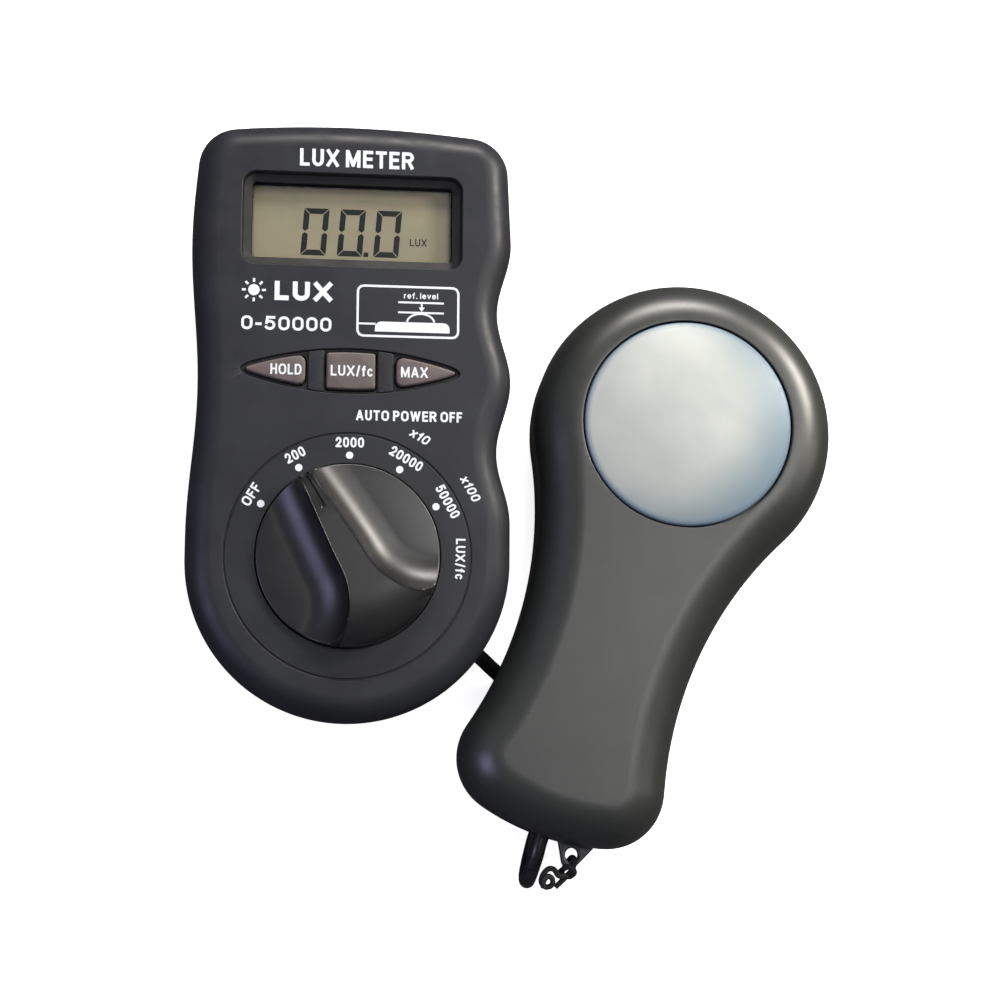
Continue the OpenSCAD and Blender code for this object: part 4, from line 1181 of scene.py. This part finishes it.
def knob():
    """The knob is drawn with its bar along +Y, then turned one step to its rest position."""
    m = Mesher()
    ys = RIM_R * np.sin(np.linspace(-math.pi / 2, math.pi / 2, 181))
    m.join([m.loop(knob_row(y)) for y in ys], closed=False)
    for side in (-1, 1):
        knob_side(m, side)
    ob = m.object("range_knob_grip", M["knob"], angle=40, weighted=False)
    bm = bmesh.new()
    bm.from_mesh(ob.data)
    bmesh.ops.remove_doubles(bm, verts=bm.verts, dist=3e-5)
    # the rim: a small round, then straight down into the well
    border = [e for e in bm.edges if len(e.link_faces) == 1
              and all(math.hypot(v.co.x, v.co.y) > (RIM_R - 0.4) * MM for v in e.verts)]
    for out, drop in ((0.12, 0.03), (0.2, 0.07), (0.25, 0.16)):
        border, moved = extrude(bm, border)
        for v in moved:
            k = (RIM_R + out) * MM / math.hypot(v.co.x, v.co.y)
            v.co.x *= k
            v.co.y *= k
            v.co.z -= drop * MM
    border, moved = extrude(bm, border)
    for v in moved:
        v.co.z = 28.9 * MM
    bmesh.ops.holes_fill(bm, edges=border, sides=0)
    bmesh.ops.recalc_face_normals(bm, faces=bm.faces)
    bmesh.ops.rotate(bm, verts=bm.verts, matrix=Matrix.Rotation(math.radians(30), 3, "Z"))
    shade(bm, 38)
    bm.to_mesh(ob.data)
    bm.free()
    place(ob, "knob", "knob_plastic", "range_knob")
    hub = revolve("range_knob_hub", [(5, 25.5), (12, 25.5), (12, 29), (5, 29), (5, 25.5)], M["knob"], 120)
    place(hub, "knob", "knob_plastic")


# ---------------------------------------------------------------- sensor head
HEAD = head_outline()
CORD_X = 0.8                            # where the cord enters the handle's end
CORD_HOLE_R = 2.35
EYE, EYE_R = (8.6, -TAIL_Y - 1.5), 1.5


def sensor_front():
    m = Mesher()
    side = [(0.3, HEAD_SPLIT), (0.1, HEAD_SPLIT + 0.08), (0, HEAD_SPLIT + 0.3), (0, HEAD_H - HEAD_EDGE)]
    first, rim = m.chain(HEAD, side + quarter(HEAD_EDGE, HEAD_H, 26)[1:])
    seat = [(24.1, 0), (23.95, -0.06), (23.85, -0.3), (23.8, -2.6), (22.0, -2.6), (22.0, -3.2)]
    edge, seat_end = m.rings([(r, HEAD_H + h) for r, h in seat])
    m.fill(rim, [edge])
    inner = [(HEAD_WALL, HEAD_SPLIT), (HEAD_WALL, HEAD_H - HEAD_EDGE), (HEAD_WALL + 2, HEAD_H - 5),
             (HEAD_WALL + 6, HEAD_H - 3.2)]
    low, ceiling = m.chain(HEAD, inner)
    m.bridge(first, low)
    m.fill(ceiling, [seat_end])
    ob = m.object("sensor_front_cover", M["sensor"], angle=40, at=at_head)
    bore_cord_hole(ob)
    place(ob, "sensor_head", "sensor_plastic", "sensor_front_shell")


def tail_axis(p):
    """Points in a frame whose +Z runs out of the handle's end, in the head's own axes."""
    p = np.asarray(p, float)
    return at_head(np.stack([CORD_X + p[:, 0], -TAIL_Y - p[:, 2], HEAD_SPLIT + p[:, 1]], axis=1))


def bore_cord_hole(ob):
    """Bores the cord's hole through the handle's end, with a wider seat for the bushing."""
    r = CORD_HOLE_R
    hole = turned_tool([(r, -4), (r, 0), (r + 0.5, 0.8), (r + 0.5, 5)], "sensor", tail_axis)
    boolean(ob, hole, angle=40)


def sensor_rear():
    top = [(0, HEAD_SPLIT - 0.4), (0.1, HEAD_SPLIT - 0.18), (0.3, HEAD_SPLIT - 0.1)]
    inner = [(HEAD_WALL, HEAD_SPLIT - 0.1), (HEAD_WALL, HEAD_BACK_R + 1), (HEAD_BACK_R + 0.6, HEAD_WALL)]
    m = Mesher()
    m.solid(HEAD, lower_quarter(HEAD_BACK_R, 0, 12) + top + inner)
    ob = m.object("sensor_back_cover", M["sensor"], angle=40, at=at_head)
    well = [(2.9, -1), (2.9, 0), (2.5, 0.3), (2.5, 4.5)]
    screw_posts(ob, HEAD_POSTS, [(3, 1), (3, 9.8)], well, "sensor", at_head)
    bore_cord_hole(ob)
    place(ob, "sensor_head", "sensor_plastic", "sensor_rear_shell")


def tether_eye():
    """A tapered tab with an eye, moulded on the back cover."""
    x, y = EYE
    edge = 0.35
    levels = lower_quarter(edge, HEAD_SPLIT - 3.2, 4) + quarter(edge, HEAD_SPLIT - 0.2, 4)
    tip = arc(x + 0.1, y - 1.3, 1.9, -150, -40, 16)
    tab = [(x - 4.5, -TAIL_Y + 1.6), *tip, (x + 4.2, -TAIL_Y + 1.6)]
    m = Mesher()
    outer = m.chain(soften(tab, 180, 0.7), levels)
    eye = m.rings([(EYE_R + d, z) for d, z in levels], 60, x, y)
    for a, b in zip(outer, eye):
        m.fill(a, [b])
    place(m.object("tether_eye", M["sensor"], at=at_head), "sensor_head", "sensor_plastic")


def dome():
    """The opal disc: a faint crown, a stepped side and a hollow underside."""
    sphere = (DOME_R ** 2 + DOME_RISE ** 2) / (2 * DOME_RISE)
    centre = HEAD_H + DOME_RISE - sphere
    inner, foot_r, foot_z = sphere - 1.8, 21.2, HEAD_H - 4.5
    under = np.linspace(0, foot_r / inner, 16)
    profile = [(inner * math.sin(t), centre + inner * math.cos(t)) for t in under]
    profile += [(foot_r, foot_z), (DOME_R - 0.1, foot_z), (DOME_R - 0.1, HEAD_H - 0.5),
                (DOME_R - 0.14, HEAD_H - 0.25), (DOME_R - 0.25, HEAD_H - 0.05)]
    crown = np.linspace(math.asin((DOME_R - 0.45) / sphere), 0, 40)
    profile += [(sphere * math.sin(t), centre + sphere * math.cos(t)) for t in crown]
    ob = revolve("opal_dome", profile, M["opal"], 240, at_head, angle=50)
    place(ob, "sensor_head", "opal_acrylic", "diffuser_dome")


# ---------------------------------------------------------------- cord and tether
LAY = CORD_R + 0.1
RUN_END = (1.1, -99.5)                  # along the head's axes, where the run leaves the table
FLEX = beside_head(0.75, -103.6, 14.9)


def cord_knots():
    """Out of the meter, under the handle, past its end, and up round a bend to the flexing point."""
    laid = [(-17.4, -67.2, LAY + 0.1), (-9.5, -73.5, LAY), (-3, -82, LAY), (0.4, -92, LAY),
            (*RUN_END, LAY + 0.2), (1.4, -103.6, 3.1), (1.55, -106.4, 5.4), (1.55, -107.4, 8.7),
            (1.2, -106.5, 12.1)]
    mouth = [MOUTH + CORD_OUT * -1.5, MOUTH + CORD_OUT * 2, MOUTH + CORD_OUT * 4.5 - (0, 0, 0.3)]
    return mouth + [beside_head(*p) for p in laid] + [FLEX]


def cords():
    path = catmull(cord_knots(), 14)
    run = tube("cable_run", path, CORD_R, M["cord"])
    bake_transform(run)
    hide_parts("signal_cord", "cord_loop", "cord_meter_end")

    out = path[-1] - path[-3]
    out /= np.linalg.norm(out)
    knots = [FLEX - out * 0.2, beside_head(0.5, -TAIL_Y - 3.6, 15.9)]
    knots += [at_head([CORD_X, y - TAIL_Y, HEAD_SPLIT]) for y in (-1, 6)]
    tail = tube("cable_tail", catmull(knots, 16), CORD_R, M["cord"])
    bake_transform(tail)
    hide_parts("cord_sensor_end")


def tether():
    """A thin cord: up from a loose end, through the eye, knotted round itself, then two curls."""
    strand = [(6.9, -106.2, 16.6), (8.2, -103.5, 17.0), (8.9, -101.0, 18.0), (8.8, -99.3, 17.4),
              (8.6, -98.9, 14.8), (8.5, -99.7, 12.3), (8.1, -102.0, 11.7), (7.4, -103.3, 13.6),
              (6.9, -102.4, 16.6), (7.9, -100.9, 19.0), (9.5, -101.7, 18.3), (9.1, -103.0, 16.8),
              (7.8, -103.1, 18.2), (6.4, -103.6, 18.6), (5.0, -102.7, 18.3), (3.8, -103.0, 18.1),
              (3.1, -104.6, 18.0), (3.3, -106.2, 17.9), (4.6, -106.9, 17.9), (5.7, -106.0, 18.3),
              (5.2, -104.7, 19.0), (4.1, -104.5, 19.3), (3.5, -105.7, 19.3), (4.0, -107.2, 18.9)]
    path = catmull([beside_head(*p) for p in strand], 10)
    place(tube("tether_loop", path, 0.62, M["braid"], 14), "sensor_head", "tether_fabric", "tether_cord")


# ---------------------------------------------------------------- carried-over CAD nodes
def dress_nodes():
    """The nodes that are taken over from the CAD as they are, by material."""
    looks = {
        "window": "display_window", "zebra": "zebra_strips", "can": "capacitors", "blue": "trimmers",
        "gold": "switch_tracks", "rotor": "knob_rotor", "bronze": "rotor_contacts", "battery": "battery",
        "vinyl": "battery_clip", "filter": "filter_glass", "silicon": "photodiode",
        "board": "circuit_board diode_board", "leads": "battery_leads board_leads diode_leads",
        "rubber": "cord_bushing sensor_bushing dome_gasket",
        "frame": "lcd_frame main_chip button_switches hold_plunger units_plunger max_plunger diode_holder",
        "steel": "knob_screw detent_balls detent_springs case_screws board_screws sensor_screws"}
    for look, nodes in looks.items():
        for node in nodes.split():
            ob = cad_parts[node]
            if not ob.data.materials:
                ob.data.materials.append(M[look])
            for slot in ob.material_slots:
                slot.material = M[look]


# ---------------------------------------------------------------- stage
def floor():
    """White paper that looks bright to the camera, while little of it is mirrored in the plastic."""
    s = Shader("floor_paper")
    seen = s.node("LightPath").outputs["Is Camera Ray"]
    paper = s.mix(s.ramp(s.noise(60, 3), 0, 1), (0.90, 0.90, 0.895, 1), (0.93, 0.93, 0.925, 1))
    s.link(s.mix(seen, (0.10, 0.10, 0.105, 1), paper), "Base Color")
    s.put("Roughness", 0.9)
    s.put("Specular IOR Level", 0.0)
    s.put("Emission Color", (1, 1, 1, 1))
    s.link(s.ramp(seen, 0, 0.85, 0, 1), "Emission Strength")
    half, z = 4000, -0.02
    m = Mesher()
    m.add(m.loop([(-half, -half), (half, -half), (half, half), (-half, half)], z))
    m.object("floor", s.mat, weighted=False)


# name, place in mm, size in mm, watts and colour of each area light
LIGHTS = (("key_right", (600, 370, 400), (230, 160), 5.6, (1.0, 0.94, 0.86)),
          ("key_back", (130, 690, 420), (330, 160), 5.0, (1.0, 0.96, 0.90)),
          ("edge_right", (760, 60, 330), (80, 420), 0.5, (1.0, 0.90, 0.80)),
          ("fill_left", (-520, -130, 480), (260, 380), 1.3, (0.62, 0.60, 1.0)),
          ("top", (375, 165, 930), (320, 560), 2.4, (1.0, 0.99, 0.98)))
LIT_SPOT = (40, 20, 15)


def lights():
    scene = bpy.context.scene
    scene.view_settings.view_transform = "Standard"
    world = bpy.data.worlds.new("studio")
    world.use_nodes = True
    back = world.node_tree.nodes["Background"]
    back.inputs["Color"].default_value = (0.96, 0.98, 1.0, 1)
    back.inputs["Strength"].default_value = 0.16
    scene.world = world
    for name, at, size, power, colour in LIGHTS:
        data = bpy.data.lights.new(name, "AREA")
        data.shape = "RECTANGLE"
        data.size, data.size_y = size[0] * MM, size[1] * MM
        data.energy = power
        data.color = colour
        ob = bpy.data.objects.new(name, data)
        ob.location = Vector(at) * MM
        ob.rotation_euler = (Vector(LIT_SPOT) - Vector(at)).to_track_quat("-Z", "Y").to_euler()
        scene.collection.objects.link(ob)


CAMERA_AT = (-12.07, -32.18, 419.58)
CAMERA_TILT = (-0.1147, -0.1145, 0.0185)    # radians about x, y and z, from straight down
FOCAL_MM, SENSOR_MM = 64.8, 36


def camera():
    """Stands over the meter's lower end and looks nearly straight down, as the object was seen."""
    tilt_x, tilt_y, tilt_z = CAMERA_TILT
    turn = rot_z(tilt_z) @ rot_y(tilt_y) @ rot_x(tilt_x) @ np.diag([1.0, -1.0, -1.0])
    data = bpy.data.cameras.new("view")
    data.lens = FOCAL_MM
    data.sensor_width = SENSOR_MM
    data.clip_start = 0.01
    data.clip_end = 50
    ob = bpy.data.objects.new("view", data)
    axes = (turn[0], -turn[1], -turn[2])
    rows = [[*(axis[i] for axis in axes), CAMERA_AT[i] * MM] for i in range(3)]
    ob.matrix_world = Matrix([*rows, [0, 0, 0, 1]])
    bpy.context.scene.collection.objects.link(ob)
    bpy.context.scene.camera = ob


# ---------------------------------------------------------------- build
front_case()
rib("rib_left", -9.35, -5.85)
rib("rib_right", 5.85, 9.35)
rear_case()
battery_door()
display()
face_print()
button(-1, "hold_key", "hold_button", "HOLD", -14.1, 6.75)
button(0, "units_key", "units_button", "LUX/fc", 0.2, 9.2)
button(1, "max_key", "max_button", "MAX", 13.9, 5.9)
knob()
sensor_front()
sensor_rear()
tether_eye()
dome()
cords()
tether()
dress_nodes()
floor()
lights()
camera()
